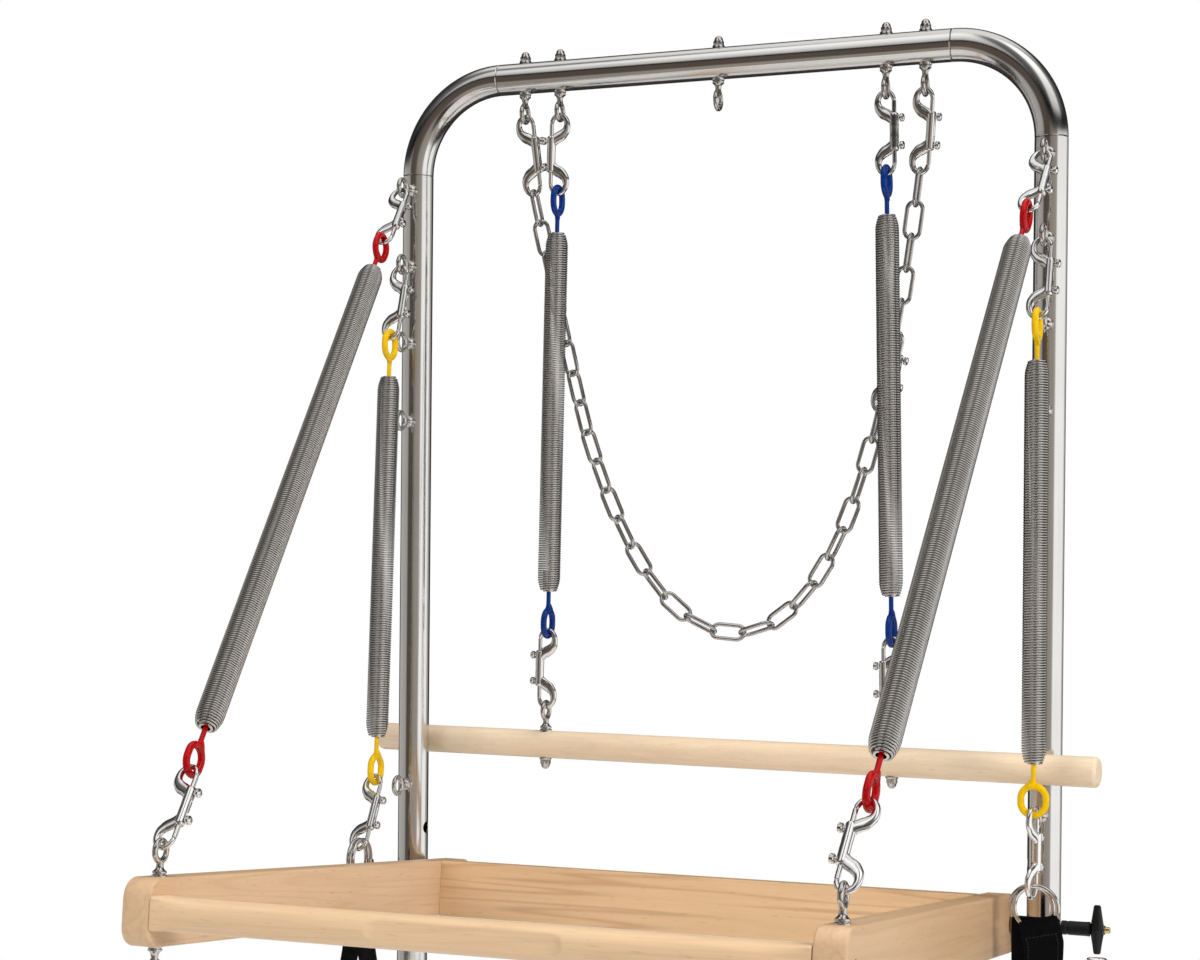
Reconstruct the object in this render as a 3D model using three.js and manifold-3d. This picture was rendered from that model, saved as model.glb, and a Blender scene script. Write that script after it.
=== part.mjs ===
import * as THREE from "three";
import { mergeVertices } from "three/addons/utils/BufferGeometryUtils.js";
import Module from "manifold-3d";

const wasm = await Module();
wasm.setup();

// A pilates tower: a tube frame with spring sets, a push-through bar, a roll-down bar and a safety chain.
// Millimetres, +Z up, X to the right, Y to the back, origin on the floor between the uprights.

// Clearances
const seatGap = 0.3;
const linkGap = 0.35;
const overrun = 2;
const fuseDepth = 1.5;

// Tower frame
const tubeRadius = 16.7;
const tubeWall = 3.2;
const uprightSpacing = 700;
const crossbarHeight = 1184.6;
const bendRadius = 100;
const spigotLength = 32;
const footPlug = 14;
const footChamfer = 1.5;
const tubeSides = 14;
const bendSteps = 6;

// Eyebolts
const eyeRadius = 9;
const eyeWire = 2.5;
const eyeReach = 22;
const collarRadius = 6.6;
const collarHeight = 5;
const neckRadius = 3.1;
const shankRadius = 3;
const washerRadius = 6.6;
const washerHeight = 1.4;
const nutRadius = 5.8;
const nutHeight = 5;
const domeHeight = 5.5;
const tipRadius = 2;
const eyeSteps = 8;
const eyeSides = 4;
const fittingSides = 6;

// Places of the eyebolts, from the crossbar's seams, the crossbar's axis and the pivot
const chainEyeInset = 28.5;
const trapezeEyeInset = 69.5;
const redEyeDrop = 118.1;
const yellowEyeDrop = 201.8;
const spareEyeDrops = [286.6, 372.6];
const lowSpareEyeRise = 112;

// Double-ended bolt snaps
const snapLength = 84.4;
const snapWire = 2.5;
const hookHalfWidth = 8.5;
const hookHalfHeight = 11;
const snapShankRadius = 4.7;
const snapShankStart = 24;
const hookRootAngle = -2.2;
const hookTipAngle = 1.3;
const boltRadius = 2.2;
const boltStroke = 7;
const knobReach = 9.5;
const knobRadius = 2.9;
const knobStemRadius = 1.5;
const knobHeight = 3.2;
const knobPlace = 31;
const hookSteps = 6;
const holeSteps = 6;
const snapSides = 6;

// Springs and their rings
const ringWire = 3.5;
const ringHalfWidth = 12;
const ringHalfLength = 14;
const stemRadius = 2.4;
const stemLength = 20.5;
const springWire = 2.5;
const coilGap = 0.7;
const coilCrown = 0.5;
const coilTaper = 16;
const coilTipShare = 0.7;
const blueCoilRadius = 12.5;
const yellowCoilRadius = 12.25;
const redCoilRadius = 13.5;
const shortCoilCurls = 7;
const longCoilCurls = 9;
const curlSteps = 8;
const plugLength = 22;
const plugBoreRadius = 4.9;
const plugBoreDepth = 14;
const stemInPlug = 6.5;
const plugSwellShare = 0.3;
const ringSteps = 3;
const ringSides = 5;
const plugSides = 6;

// Turn of the left trapeze snap, past its neighbour's knobs
const snapTurn = 0.18;

// Yellow sets lean over the spare eyebolts
const snapLean = 0.31;
const springLean = 0.055;
const rightSideLean = 0.012;
const rightTwist = 1.3;
const strapSnapLean = 0.5;

// Push-through bar
const pivotHeight = 300;
const barTilt = -0.094;
const armClearance = 16.1;
const armThickness = 27.6;
const armHeight = 59;
const armFront = 622.7;
const armBack = 18;
const armFrontRadius = 18;
const armBackRadius = 9;
const armRound = 2.5;
const cornerSteps = 2;
const boardBack = 27;
const boardThickness = 28;
const boardHeight = 59;
const gripDiameter = 30;
const gripSquareEnd = 2.5;
const gripTransition = 42;
const gripSquareShare = 0.45;
const gripFlatHalf = 83;
const gripFlatBlend = 14;
const gripFlatDepth = 3.2;
const gripSides = 12;
const ptbEyeFront = 588.6;

// Pivot bushings and pull pins
const bushFlangeRadius = 9.6;
const bushFlangeHeight = 4;
const bushBarrelRadius = 7.5;
const pinRadius = 4.75;
const pinChamfer = 1.2;
const pinEndInset = 1;
const pinStemGap = 1;
const pinStemRadius = 7;
const pinStemLength = 28;
const handleHeight = 48;
const handleEndRadius = 3.6;
const handleMidRadius = 7.2;
const buttonRadius = 3.25;
const buttonReach = 5.5;
const buttonDepth = 5;
const buttonTravel = 3;
const lanyardRadius = 9;
const lanyardWire = 0.9;
const sparePinRise = 63;
const sparePinRadius = 6;
const pinSides = 8;
const lanyardSides = 4;

// Roll-down bar
const dowelRadius = 15;
const dowelEndRadius = 4;
const dowelOverhang = 61.5;
const dowelClearance = 2.824;
const dowelRise = 159.06;
const dowelEyeSpread = 19.5;
const dowelSides = 16;

// Safety chain
const chainTilt = 0.122;
const chainSwing = 0.262;
const chainSagShare = 0.3702;
const chainEndInset = 6.9;
const chainLinks = 31;
const chainShortRun = 5;
const chainBow = 7;
const chainBowShare = 0.24;
const linkWire = 2.15;
const linkHalfWidth = 8.1;
const linkOverlap = 0.3;
const linkSteps = 3;
const linkSides = 4;

// Webbing straps
const strapRingRadius = 20.25;
const strapRingWire = 2.25;
const strapRingPitch = 5.2;
const webbingWidth = 37;
const webbingThickness = 2.6;
const strapFoldRadius = 6.5;
const strapDrop = 215;
const strapSpread = 26;
const strapSeat = 10.5;
const strapTurnSteps = 6;
const strapRingSteps = 10;
const strapRingSides = 4;

// Finishes
const steel = { color: 0xb9b6b1, roughness: 0.2, metalness: 1 };
const springSteel = { color: 0x9c9a96, roughness: 0.35, metalness: 1 };
const maple = { color: 0xe2bf96, roughness: 0.5, metalness: 0 };
const paleMaple = { color: 0xe8cfae, roughness: 0.55, metalness: 0 };
const black = { color: 0x141414, roughness: 0.6, metalness: 0 };
const brass = { color: 0xc89b3c, roughness: 0.25, metalness: 1 };
const redDip = { color: 0xc0141a, roughness: 0.35, metalness: 0 };
const yellowDip = { color: 0xf0c41e, roughness: 0.35, metalness: 0 };
const blueDip = { color: 0x1446a8, roughness: 0.35, metalness: 0 };
const webbing = { color: 0x17181a, roughness: 0.9, metalness: 0 };

const xAxis = new THREE.Vector3(1, 0, 0);
const yAxis = new THREE.Vector3(0, 1, 0);
const zAxis = new THREE.Vector3(0, 0, 1);

// A closed geometry as a solid that can be joined and cut.
function solid(geometry) {
  const bare = geometry.clone();
  bare.deleteAttribute("normal");
  bare.deleteAttribute("uv");
  const merged = mergeVertices(bare);
  const mesh = new wasm.Mesh({
    numProp: 3,
    vertProperties: merged.attributes.position.array,
    triVerts: new Uint32Array(merged.index.array),
  });
  return new wasm.Manifold(mesh);
}

function join(geometries) {
  return geometries.map(solid).reduce((whole, piece) => whole.add(piece));
}

function cut(whole, geometries) {
  return geometries.map(solid).reduce((rest, tool) => rest.subtract(tool), whole);
}

function geometryOf(body) {
  const mesh = body.getMesh();
  const geometry = new THREE.BufferGeometry();
  geometry.setAttribute("position", new THREE.BufferAttribute(mesh.vertProperties, 3));
  geometry.setIndex(new THREE.BufferAttribute(mesh.triVerts, 1));
  return geometry;
}

// The matrix of a local frame with its origin, its Z direction and a direction near its X.
function frame(origin, z, nearX) {
  const w = z.clone().normalize();
  const v = new THREE.Vector3().crossVectors(w, nearX).normalize();
  const u = new THREE.Vector3().crossVectors(v, w);
  return new THREE.Matrix4().makeBasis(u, v, w).setPosition(origin);
}

function placed(geometries, matrix) {
  return geometries.map((geometry) => geometry.clone().applyMatrix4(matrix));
}

// A solid cylinder along local Z.
function rod(radius, low, high, sides) {
  const geometry = new THREE.CylinderGeometry(radius, radius, high - low, sides);
  geometry.rotateX(Math.PI / 2);
  geometry.translate(0, 0, (low + high) / 2);
  return geometry;
}

// A body turned about local Z from [radius, height] pairs that start and end on the axis.
function turned(profile, sides) {
  const points = profile.map(([radius, height]) => new THREE.Vector2(radius, height));
  const geometry = new THREE.LatheGeometry(points, sides);
  geometry.rotateX(Math.PI / 2);
  return geometry;
}

// A closed surface over a row of rings with the same number of points.
function skin(rings, looped) {
  const count = rings[0].length;
  const positions = rings.flat().flatMap((point) => [point.x, point.y, point.z]);
  const index = [];
  const rows = looped ? rings.length : rings.length - 1;
  for (let row = 0; row < rows; row++) {
    const next = (row + 1) % rings.length;
    for (let side = 0; side < count; side++) {
      const other = (side + 1) % count;
      const a = row * count + side;
      const b = row * count + other;
      const c = next * count + side;
      const d = next * count + other;
      index.push(a, b, d, a, d, c);
    }
  }
  if (!looped) {
    const last = (rings.length - 1) * count;
    for (let side = 1; side < count - 1; side++) {
      index.push(0, side + 1, side);
      index.push(last, last + side, last + side + 1);
    }
  }
  const geometry = new THREE.BufferGeometry();
  geometry.setAttribute("position", new THREE.Float32BufferAttribute(positions, 3));
  geometry.setIndex(index);
  return geometry;
}

// A ring of points about a centre, in the plane of two directions, turning from the first to the second.
function section(centre, first, second, firstRadius, secondRadius, sides) {
  const points = [];
  for (let side = 0; side < sides; side++) {
    const angle = (2 * Math.PI * (side + 0.5)) / sides;
    const point = centre.clone();
    point.addScaledVector(first, firstRadius * Math.cos(angle));
    point.addScaledVector(second, secondRadius * Math.sin(angle));
    points.push(point);
  }
  return points;
}

// A closed wire through points in the local XZ plane.
// A wire of four sides is as wide as the real one across its flats.
function wireLoop(points, wire, sides) {
  const radius = sides === 4 ? wire * Math.SQRT2 : wire;
  const count = points.length;
  const rings = points.map((point, i) => {
    const arriving = point.clone().sub(points[(i + count - 1) % count]).normalize();
    const leaving = points[(i + 1) % count].clone().sub(point).normalize();
    const mitre = 1 / Math.cos(arriving.angleTo(leaving) / 2);
    const onward = arriving.add(leaving).normalize();
    const across = new THREE.Vector3().crossVectors(yAxis, onward);
    return section(point, across, yAxis, radius * mitre, radius, sides);
  });
  return skin(rings, true);
}

// A wire ring with straight sides in the local XZ plane, flat at both ends,
// where its wires lie at the half length.
function ovalRing(halfWidth, halfLength, wire, steps, sides) {
  const turn = Math.PI / (steps + 1);
  const reach = halfWidth / Math.cos(turn / 2);
  const straight = halfLength - halfWidth;
  const points = [];
  for (const end of [1, -1]) {
    for (let step = 0; step <= steps; step++) {
      const angle = turn * (step + 0.5);
      const x = reach * Math.cos(angle) * end;
      const z = (straight + reach * Math.sin(angle)) * end;
      points.push(new THREE.Vector3(x, 0, z));
    }
  }
  return wireLoop(points, wire, sides);
}

// A round wire ring in the local XZ plane, with flats at the radius.
function roundRing(radius, wire, steps, sides) {
  const reach = radius / Math.cos(Math.PI / steps);
  const points = [];
  for (let step = 0; step < steps; step++) {
    const angle = (2 * Math.PI * (step + 0.5)) / steps;
    points.push(new THREE.Vector3(reach * Math.cos(angle), 0, reach * Math.sin(angle)));
  }
  return wireLoop(points, wire, sides);
}

// The ring of an eyebolt: local Z points out of the surface that it stands on,
// and the ring faces local X.
function eye() {
  const ring = roundRing(eyeRadius, eyeWire, eyeSteps, eyeSides);
  ring.rotateZ(Math.PI / 2);
  ring.translate(0, 0, eyeReach);
  return ring;
}

// The collar above a seat and the neck that carries the ring, as the top of a turned profile.
function collarProfile(seat) {
  const neckTop = eyeReach - eyeRadius;
  return [
    [collarRadius, seat],
    [collarRadius, collarHeight],
    [neckRadius, neckTop],
    [0, neckTop],
  ];
}

// A whole eyebolt through something as thick as grip, with its washer and acorn nut on the far side.
function eyebolt(grip, seat) {
  const far = -grip - seat;
  const nutTop = far - washerHeight;
  const domeTop = nutTop - nutHeight;
  const body = turned(
    [
      [0, domeTop - domeHeight],
      [tipRadius, domeTop - domeHeight],
      [nutRadius, domeTop],
      [nutRadius, nutTop],
      [washerRadius, far],
      [shankRadius, far],
      [shankRadius, seat],
      ...collarProfile(seat),
    ],
    fittingSides,
  );
  return [eye(), body];
}

// The two ends of an eyebolt that is fixed in a wall on each side, without the shank hidden between them.
function spareEyebolt(grip) {
  const far = -grip;
  const nutTop = far - washerHeight;
  const domeTop = nutTop - nutHeight;
  const nut = turned(
    [
      [0, domeTop - domeHeight],
      [tipRadius, domeTop - domeHeight],
      [nutRadius, domeTop],
      [nutRadius, nutTop],
      [washerRadius, far],
      [washerRadius, far + fuseDepth],
      [0, far + fuseDepth],
    ],
    fittingSides,
  );
  const collar = turned([[0, -fuseDepth], ...collarProfile(-fuseDepth)], fittingSides);
  return [eye(), collar, nut];
}

// The hole that an eyebolt needs through something as thick as grip.
function eyeboltHole(grip) {
  return rod(shankRadius + seatGap, -grip - overrun, overrun, fittingSides);
}

// Where a straight tube runs along local Z: hollow from its bore start to its open end.
function tube(low, high, boreLow, boreHigh) {
  const inner = tubeRadius - tubeWall;
  const outside = rod(tubeRadius, low, high, tubeSides);
  return cut(solid(outside), [rod(inner, boreLow, boreHigh, tubeSides)]);
}

const uprightX = uprightSpacing / 2;
const elbowFoot = crossbarHeight - bendRadius;
const elbowEnd = uprightX - bendRadius;
const tubeSeam = seatGap / 2;
const chainEyeX = elbowEnd - chainEyeInset;
const trapezeEyeX = elbowEnd - trapezeEyeInset;
const redEyeHeight = crossbarHeight - redEyeDrop;
const yellowEyeHeight = crossbarHeight - yellowEyeDrop;
const highSpareEyes = spareEyeDrops.map((drop) => crossbarHeight - drop);
const spareEyeHeights = [...highSpareEyes, pivotHeight + lowSpareEyeRise];
const armInner = uprightX - tubeRadius - armClearance - armThickness;
const armX = armInner + armThickness / 2;
const crossbarEyeHeight = crossbarHeight - tubeRadius - eyeReach;

// An upright stands on a plugged, chamfered foot and takes the elbow's spigot at its top.
function upright(side) {
  const inner = tubeRadius - tubeWall;
  const top = elbowFoot - tubeSeam;
  const outside = turned(
    [
      [0, 0],
      [tubeRadius - footChamfer, 0],
      [tubeRadius, footChamfer],
      [tubeRadius, top],
      [0, top],
    ],
    tubeSides,
  );
  let body = cut(solid(outside), [rod(inner, footPlug, top + overrun, tubeSides)]);
  const front = yAxis.clone().negate();
  const facePlace = (height) => frame(new THREE.Vector3(0, -tubeRadius, height), front, xAxis);
  for (const height of spareEyeHeights) {
    const spare = placed(spareEyebolt(2 * tubeRadius), facePlace(height));
    body = spare.map(solid).reduce((whole, piece) => whole.add(piece), body);
  }
  const holes = [redEyeHeight, yellowEyeHeight].flatMap((height) =>
    placed([eyeboltHole(2 * tubeRadius)], facePlace(height)),
  );
  const through = rod(pinRadius + seatGap, -tubeRadius - overrun, tubeRadius + overrun, pinSides);
  through.rotateY(Math.PI / 2);
  through.translate(0, 0, pivotHeight);
  const spareHole = rod(sparePinRadius, 0, tubeRadius + overrun, pinSides);
  spareHole.rotateY((-side * Math.PI) / 2);
  spareHole.translate(0, 0, pivotHeight + sparePinRise);
  return cut(body, [...holes, through, spareHole]);
}

// A quarter bend drawn for the right side, with a spigot at each end that the outermost eyebolts
// pass through.
function elbow(side) {
  const centre = new THREE.Vector3(elbowEnd, 0, elbowFoot);
  const seam = tubeSeam / bendRadius;
  const arc = (angle) =>
    new THREE.Vector3(Math.cos(angle), 0, Math.sin(angle)).multiplyScalar(bendRadius).add(centre);
  const rings = [];
  for (let step = 0; step <= bendSteps; step++) {
    const angle = seam + ((Math.PI / 2 - 2 * seam) * step) / bendSteps;
    const outward = new THREE.Vector3(Math.cos(angle), 0, Math.sin(angle));
    rings.push(section(arc(angle), outward, yAxis, tubeRadius, tubeRadius, tubeSides));
  }
  const spigotRadius = tubeRadius - tubeWall - seatGap;
  const lower = rod(spigotRadius, elbowFoot - spigotLength, elbowFoot + overrun, tubeSides);
  lower.translate(uprightX, 0, 0);
  const upper = rod(spigotRadius, elbowEnd - spigotLength, elbowEnd + overrun, tubeSides);
  upper.rotateY(Math.PI / 2);
  upper.translate(0, 0, crossbarHeight);
  const pieces = [skin(rings, false), lower, upper];
  const front = yAxis.clone().negate();
  const redSeat = new THREE.Vector3(uprightX, -tubeRadius, redEyeHeight);
  const holes = [
    ...placed([eyeboltHole(2 * tubeRadius)], frame(redSeat, front, xAxis)),
    ...placed([eyeboltHole(2 * tubeRadius)], crossbarEyePlace(chainEyeX)),
  ];
  if (side < 0) [...pieces, ...holes].forEach((piece) => piece.rotateZ(Math.PI));
  return cut(join(pieces), holes);
}

const crossbarEyes = {
  chain_left: -chainEyeX,
  trapeze_left: -trapezeEyeX,
  centre: 0,
  trapeze_right: trapezeEyeX,
  chain_right: chainEyeX,
};

function crossbarEyePlace(x) {
  return frame(new THREE.Vector3(x, 0, crossbarHeight - tubeRadius), zAxis.clone().negate(), xAxis);
}

// The crossbar lies between the elbows' spigots and is drilled for its eyebolts.
function crossbar() {
  const half = elbowEnd - tubeSeam;
  const body = tube(-half, half, -half - overrun, half + overrun);
  const geometry = geometryOf(body);
  geometry.rotateY(Math.PI / 2);
  geometry.translate(0, 0, crossbarHeight);
  const holes = Object.values(crossbarEyes).flatMap((x) =>
    placed([eyeboltHole(2 * tubeRadius)], crossbarEyePlace(x)),
  );
  return cut(solid(geometry), holes);
}

// Half of a snap's outline as [across, along] pairs,
// from its shank round the hook and back along the bolt.
function hookOutline() {
  const outerWidth = hookHalfWidth + snapWire;
  const outerHeight = hookHalfHeight + snapWire;
  const points = [
    [hookHalfWidth - snapShankRadius, snapShankStart + snapShankRadius],
    [-snapWire, snapShankStart],
  ];
  for (let step = 0; step <= hookSteps; step++) {
    const angle = hookRootAngle + ((hookTipAngle - hookRootAngle) * step) / hookSteps;
    points.push([outerWidth * Math.sin(angle), hookHalfHeight - outerHeight * Math.cos(angle)]);
  }
  points.push([outerWidth, snapShankStart - boltRadius]);
  points.push([hookHalfWidth + snapShankRadius, snapShankStart + snapShankRadius / 2]);
  return points;
}

// A knob on the side of the shank, as the same kind of pairs.
function knobOutline() {
  const edge = hookHalfWidth + snapShankRadius;
  const reach = hookHalfWidth + knobReach;
  return [
    [edge, knobPlace - knobStemRadius],
    [reach, knobPlace - knobRadius],
    [reach, knobPlace + knobRadius],
    [edge, knobPlace + knobStemRadius],
  ];
}

// The opening of a hook behind its closed bolt, with flats at the wire.
function hookHole(base, sign) {
  const reach = 1 / Math.cos(Math.PI / holeSteps);
  const hole = new THREE.Path();
  const halfWidth = (hookHalfWidth - snapWire) * reach;
  const halfHeight = (hookHalfHeight - snapWire) * reach;
  for (let step = 0; step < holeSteps; step++) {
    const angle = (2 * Math.PI * (step + 0.5)) / holeSteps;
    const x = halfWidth * Math.sin(angle);
    const z = base + sign * (hookHalfHeight - halfHeight * Math.cos(angle));
    if (step === 0) hole.moveTo(x, z);
    else hole.lineTo(x, z);
  }
  hole.closePath();
  return hole;
}

// A cast double-ended snap in local XZ; its load line is local Z,
// from one hook's wire centre to the other's.
// A snap whose far bolt is a piece of its own has a round shank to hold it and no knob of its own there.
function snap(freeBolt) {
  const near = [...hookOutline(), ...knobOutline()];
  const far = [...hookOutline(), ...(freeBolt ? [] : knobOutline())];
  const mirrored = far.map(([across, onward]) => [across, snapLength - onward]).reverse();
  const outline = [...near, ...mirrored].map((pair) => new THREE.Vector2(...pair));
  const shape = new THREE.Shape(outline);
  shape.holes.push(hookHole(0, 1), hookHole(snapLength, -1));
  const plate = new THREE.ExtrudeGeometry(shape, { depth: 2 * snapWire, bevelEnabled: false });
  plate.translate(0, 0, -snapWire);
  plate.rotateX(Math.PI / 2);
  if (!freeBolt) return [plate];
  const start = snapShankStart + snapShankRadius / 2;
  const shank = rod(snapShankRadius, start, snapLength - start, plugSides);
  shank.translate(hookHalfWidth, 0, 0);
  return [plate, shank];
}

// A knob on its stem, standing off the bolt at a height along the snap.
function knob(height) {
  const profile = [
    [0, 0],
    [knobStemRadius, 0],
    [knobStemRadius, knobReach - knobHeight],
    [knobRadius, knobReach],
    [0, knobReach],
  ];
  const piece = turned(profile, snapSides);
  piece.rotateY(Math.PI / 2);
  piece.translate(hookHalfWidth, 0, height);
  return piece;
}

// The far bolt of a snap as a piece of its own.
const boltBack = snapLength - knobPlace - 2 * knobStemRadius;
const boltTip = snapLength - hookHalfHeight;

function freeBoltPieces() {
  const bar = rod(boltRadius, boltBack, boltTip, snapSides);
  bar.translate(hookHalfWidth, 0, 0);
  return [bar, knob(snapLength - knobPlace)];
}

// The bore, the slot for the knob and the gate of the hook that the free bolt works in.
function freeBoltSpace() {
  const clear = boltRadius + seatGap;
  const shankEnd = snapLength - snapShankStart;
  const boreRadius = clear / Math.cos(Math.PI / snapSides);
  const bore = rod(boreRadius, boltBack - boltStroke - seatGap, shankEnd, snapSides);
  bore.translate(hookHalfWidth, 0, 0);
  const slotWidth = 2 * (knobStemRadius + seatGap);
  const slotHigh = snapLength - knobPlace + knobStemRadius + seatGap;
  const slotLow = slotHigh - slotWidth - boltStroke;
  const reach = snapShankRadius + overrun;
  const slot = new THREE.BoxGeometry(reach, slotWidth, slotHigh - slotLow);
  slot.translate(hookHalfWidth + reach / 2, 0, (slotLow + slotHigh) / 2);
  const gateLow = shankEnd - snapShankRadius / 2;
  const gateHigh = boltTip + seatGap;
  const gate = new THREE.BoxGeometry(clear + reach, 2 * (snapWire + overrun), gateHigh - gateLow);
  gate.translate(hookHalfWidth + (reach - clear) / 2, 0, (gateLow + gateHigh) / 2);
  return [bore, slot, gate];
}

// A dipped ring at the origin in the local YZ plane, with its stem along local Z.
function ringAndStem(stemEnd) {
  const ring = ovalRing(ringHalfWidth, ringHalfLength, ringWire, ringSteps, ringSides);
  ring.rotateZ(Math.PI / 2);
  return [ring, rod(stemRadius, ringHalfLength, stemEnd, ringSides)];
}

const ringToCoil = ringHalfLength + stemLength;

// The outer radius of a coil at a height above its start.
function coilRadiusAt(height, radius, length) {
  const fromEnd = Math.min(height, length - height);
  const rise = Math.sin((Math.PI / 2) * Math.min(1, Math.max(0, fromEnd) / coilTaper));
  return radius * (coilTipShare + (1 - coilTipShare) * rise);
}

// The profile of the tapered plug inside a coil's end, from the coil's end inwards.
function plugProfile(radius) {
  const inner = (outer) => (outer - springWire) * Math.cos(Math.PI / curlSteps) - seatGap;
  const tip = inner(radius * coilTipShare);
  const middle = inner(radius * (coilTipShare + (1 - coilTipShare) * plugSwellShare));
  return [
    [0, 0],
    [tip, 0],
    [middle, coilTaper / 2],
    [middle, plugLength],
    [0, plugLength],
  ];
}

// A close-wound coil along local Z as one flattened strip, ground flat and drawn in at both ends.
function coil(name, radius, length, curls) {
  const last = curls - 1;
  const pitch = (length - 2 * coilTaper) / (last - 2);
  const seamHeight = (turn) => {
    if (turn <= 0) return 0;
    if (turn >= last) return length;
    if (turn < 1) return coilTaper * turn;
    if (turn > last - 1) return length - coilTaper * (last - turn);
    return coilTaper + pitch * (turn - 1);
  };
  const lead = springWire / coilTaper;
  const steps = Math.round((curls - 2 * lead) * curlSteps);
  const rings = [];
  const edges = [];
  for (let step = 0; step <= steps; step++) {
    const turn = lead + ((curls - 2 * lead) * step) / steps;
    const angle = 2 * Math.PI * turn;
    const outward = new THREE.Vector3(Math.cos(angle), Math.sin(angle), 0);
    const low = turn > 1 ? seamHeight(turn - 1) + coilGap / 2 : 0;
    const high = turn < last ? seamHeight(turn) - coilGap / 2 : length;
    const middle = (low + high) / 2;
    const at = (height, depth) =>
      outward.clone().multiplyScalar(coilRadiusAt(height, radius, length) - depth).setZ(height);
    rings.push([
      at(high, springWire),
      at(high, 0),
      at(middle, -coilCrown),
      at(low, 0),
      at(low, springWire),
    ]);
    edges.push({ turn, low: at(low, 0), high: at(high, 0) });
  }
  const firstRun = endRun(rings[0], rings[1], -springWire);
  const lastRun = endRun(rings[steps], rings[steps - 1], -springWire);
  rings.unshift(firstRun);
  rings.push(lastRun);
  const later = (edge) => edges.filter((other) => other.turn > edge.turn + 1 / 2);
  const gaps = edges.flatMap((edge) => later(edge).map((other) => edge.high.distanceTo(other.low)));
  console.log(`${name}: least gap between its curls ${Math.min(...gaps).toFixed(2)} mm`);
  return skin(rings, false);
}

// A ring moved straight on, away from its neighbour, by a length.
function endRun(ring, neighbour, length) {
  const step = neighbour[0].clone().sub(ring[0]).setZ(0).normalize().multiplyScalar(length);
  return ring.map((point) => point.clone().add(step));
}

const hookInEye = eyeRadius - eyeWire - snapWire - linkGap;
const hookInRing = ringHalfLength - ringWire - snapWire - linkGap;

// What a square bar of a hook needs beyond its half width when it lies at an angle to its seat.
function bendRoom(angle) {
  return snapWire * (Math.cos(angle) + Math.abs(Math.sin(angle)) - 1);
}

// How far a hook's wire centre lies from the centre of an eye when it pulls at an angle to the
// eye's own axis.
function seatInEye(angle) {
  const room = eyeRadius - eyeWire - linkGap;
  const seats = [];
  for (let step = 0; step < eyeSteps; step++) {
    const face = (2 * Math.PI * step) / eyeSteps - angle;
    const reach = snapWire * (Math.abs(Math.cos(face)) + Math.abs(Math.sin(face)));
    if (Math.cos(face) > 1 / 2) seats.push((room - reach) / Math.cos(face));
  }
  return Math.min(...seats);
}

// The distance from the centre of an eye to the centre of the spring ring that a straight snap
// joins to it.
const eyeToRing = hookInEye + snapLength + hookInRing;
const setLength = (coilLength) => 2 * (eyeToRing + ringToCoil) + coilLength;

const tower = new THREE.Group();

function addMesh(parent, name, body, finish, matrix) {
  const mesh = new THREE.Mesh(geometryOf(body), new THREE.MeshStandardMaterial(finish));
  mesh.name = name;
  if (matrix) mesh.applyMatrix4(matrix);
  parent.add(mesh);
  return mesh;
}

// A point on a line from an origin.
function along(origin, direction, distance) {
  return origin.clone().addScaledVector(direction, distance);
}

// One spring set hung from an eye: its upper snap, its spring with the upper ring,
// its lower ring and lower snap.
function addSpringSet(set) {
  const { name, eye, colour, radius, coilLength, curls, snapAlong, springAlong, lowerAlong } = set;
  const eyeAngle = snapAlong.angleTo(zAxis.clone().negate());
  const upperAcross = xAxis.clone().multiplyScalar(set.upperSide);
  upperAcross.applyAxisAngle(zAxis, set.upperTurn ?? 0);
  const lowerAcross = set.lowerAcross ?? xAxis.clone().multiplyScalar(set.lowerSide);
  const upperHook = along(eye, snapAlong, seatInEye(eyeAngle));
  const upperPlace = frame(upperHook, snapAlong, upperAcross);
  addMesh(tower, `${name}_upper_snap`, join(snap(false)), steel, upperPlace);
  const upperBend = bendRoom(snapAlong.angleTo(springAlong));
  const farHook = along(upperHook, snapAlong, snapLength);
  const upperRing = along(farHook, springAlong, hookInRing - upperBend);
  const upperFrame = frame(upperRing, springAlong, xAxis);
  const windings = coil(name, radius, coilLength, curls).translate(0, 0, ringToCoil);
  const tip = radius * coilTipShare - springWire / 2;
  const plug = rod(tip, ringToCoil + coilGap, ringToCoil + springWire, curlSteps);
  const spring = join([...ringAndStem(ringToCoil + overrun), windings, plug]);
  addMesh(tower, `${name}_spring`, spring, springSteel, upperFrame);
  const lowerRing = along(upperRing, springAlong, 2 * ringToCoil + coilLength);
  const back = springAlong.clone().negate();
  const lowerFrame = frame(lowerRing, back, set.ringFacing ?? xAxis);
  if (set.opened) {
    const seat = along(lowerRing, back, ringToCoil);
    const bore = rod(plugBoreRadius, -overrun, plugBoreDepth, plugSides);
    const openPlug = cut(solid(turned(plugProfile(radius), plugSides)), [bore]);
    addMesh(tower, `${name}_end_plug`, openPlug, steel, frame(seat, back, xAxis));
    const ring = join(ringAndStem(ringToCoil + stemInPlug));
    addMesh(tower, `${name}_lower_ring`, ring, colour, lowerFrame);
  } else {
    const inside = turned(plugProfile(radius), plugSides).translate(0, 0, ringToCoil);
    const ring = join([...ringAndStem(ringToCoil + overrun), inside]);
    addMesh(tower, `${name}_lower_ring`, ring, colour, lowerFrame);
  }
  const lowerBend = bendRoom(lowerAlong.angleTo(springAlong));
  const lowerHook = along(lowerRing, springAlong, hookInRing - lowerBend);
  const lowerPlace = frame(lowerHook, lowerAlong, lowerAcross);
  const lowerSnap = join(snap(set.opened));
  if (set.opened) {
    addMesh(tower, `${name}_lower_snap`, cut(lowerSnap, freeBoltSpace()), steel, lowerPlace);
    addMesh(tower, `${name}_lower_snap_bolt`, join(freeBoltPieces()), steel, lowerPlace);
  } else {
    addMesh(tower, `${name}_lower_snap`, lowerSnap, steel, lowerPlace);
  }
  return along(lowerHook, lowerAlong, snapLength);
}

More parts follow.
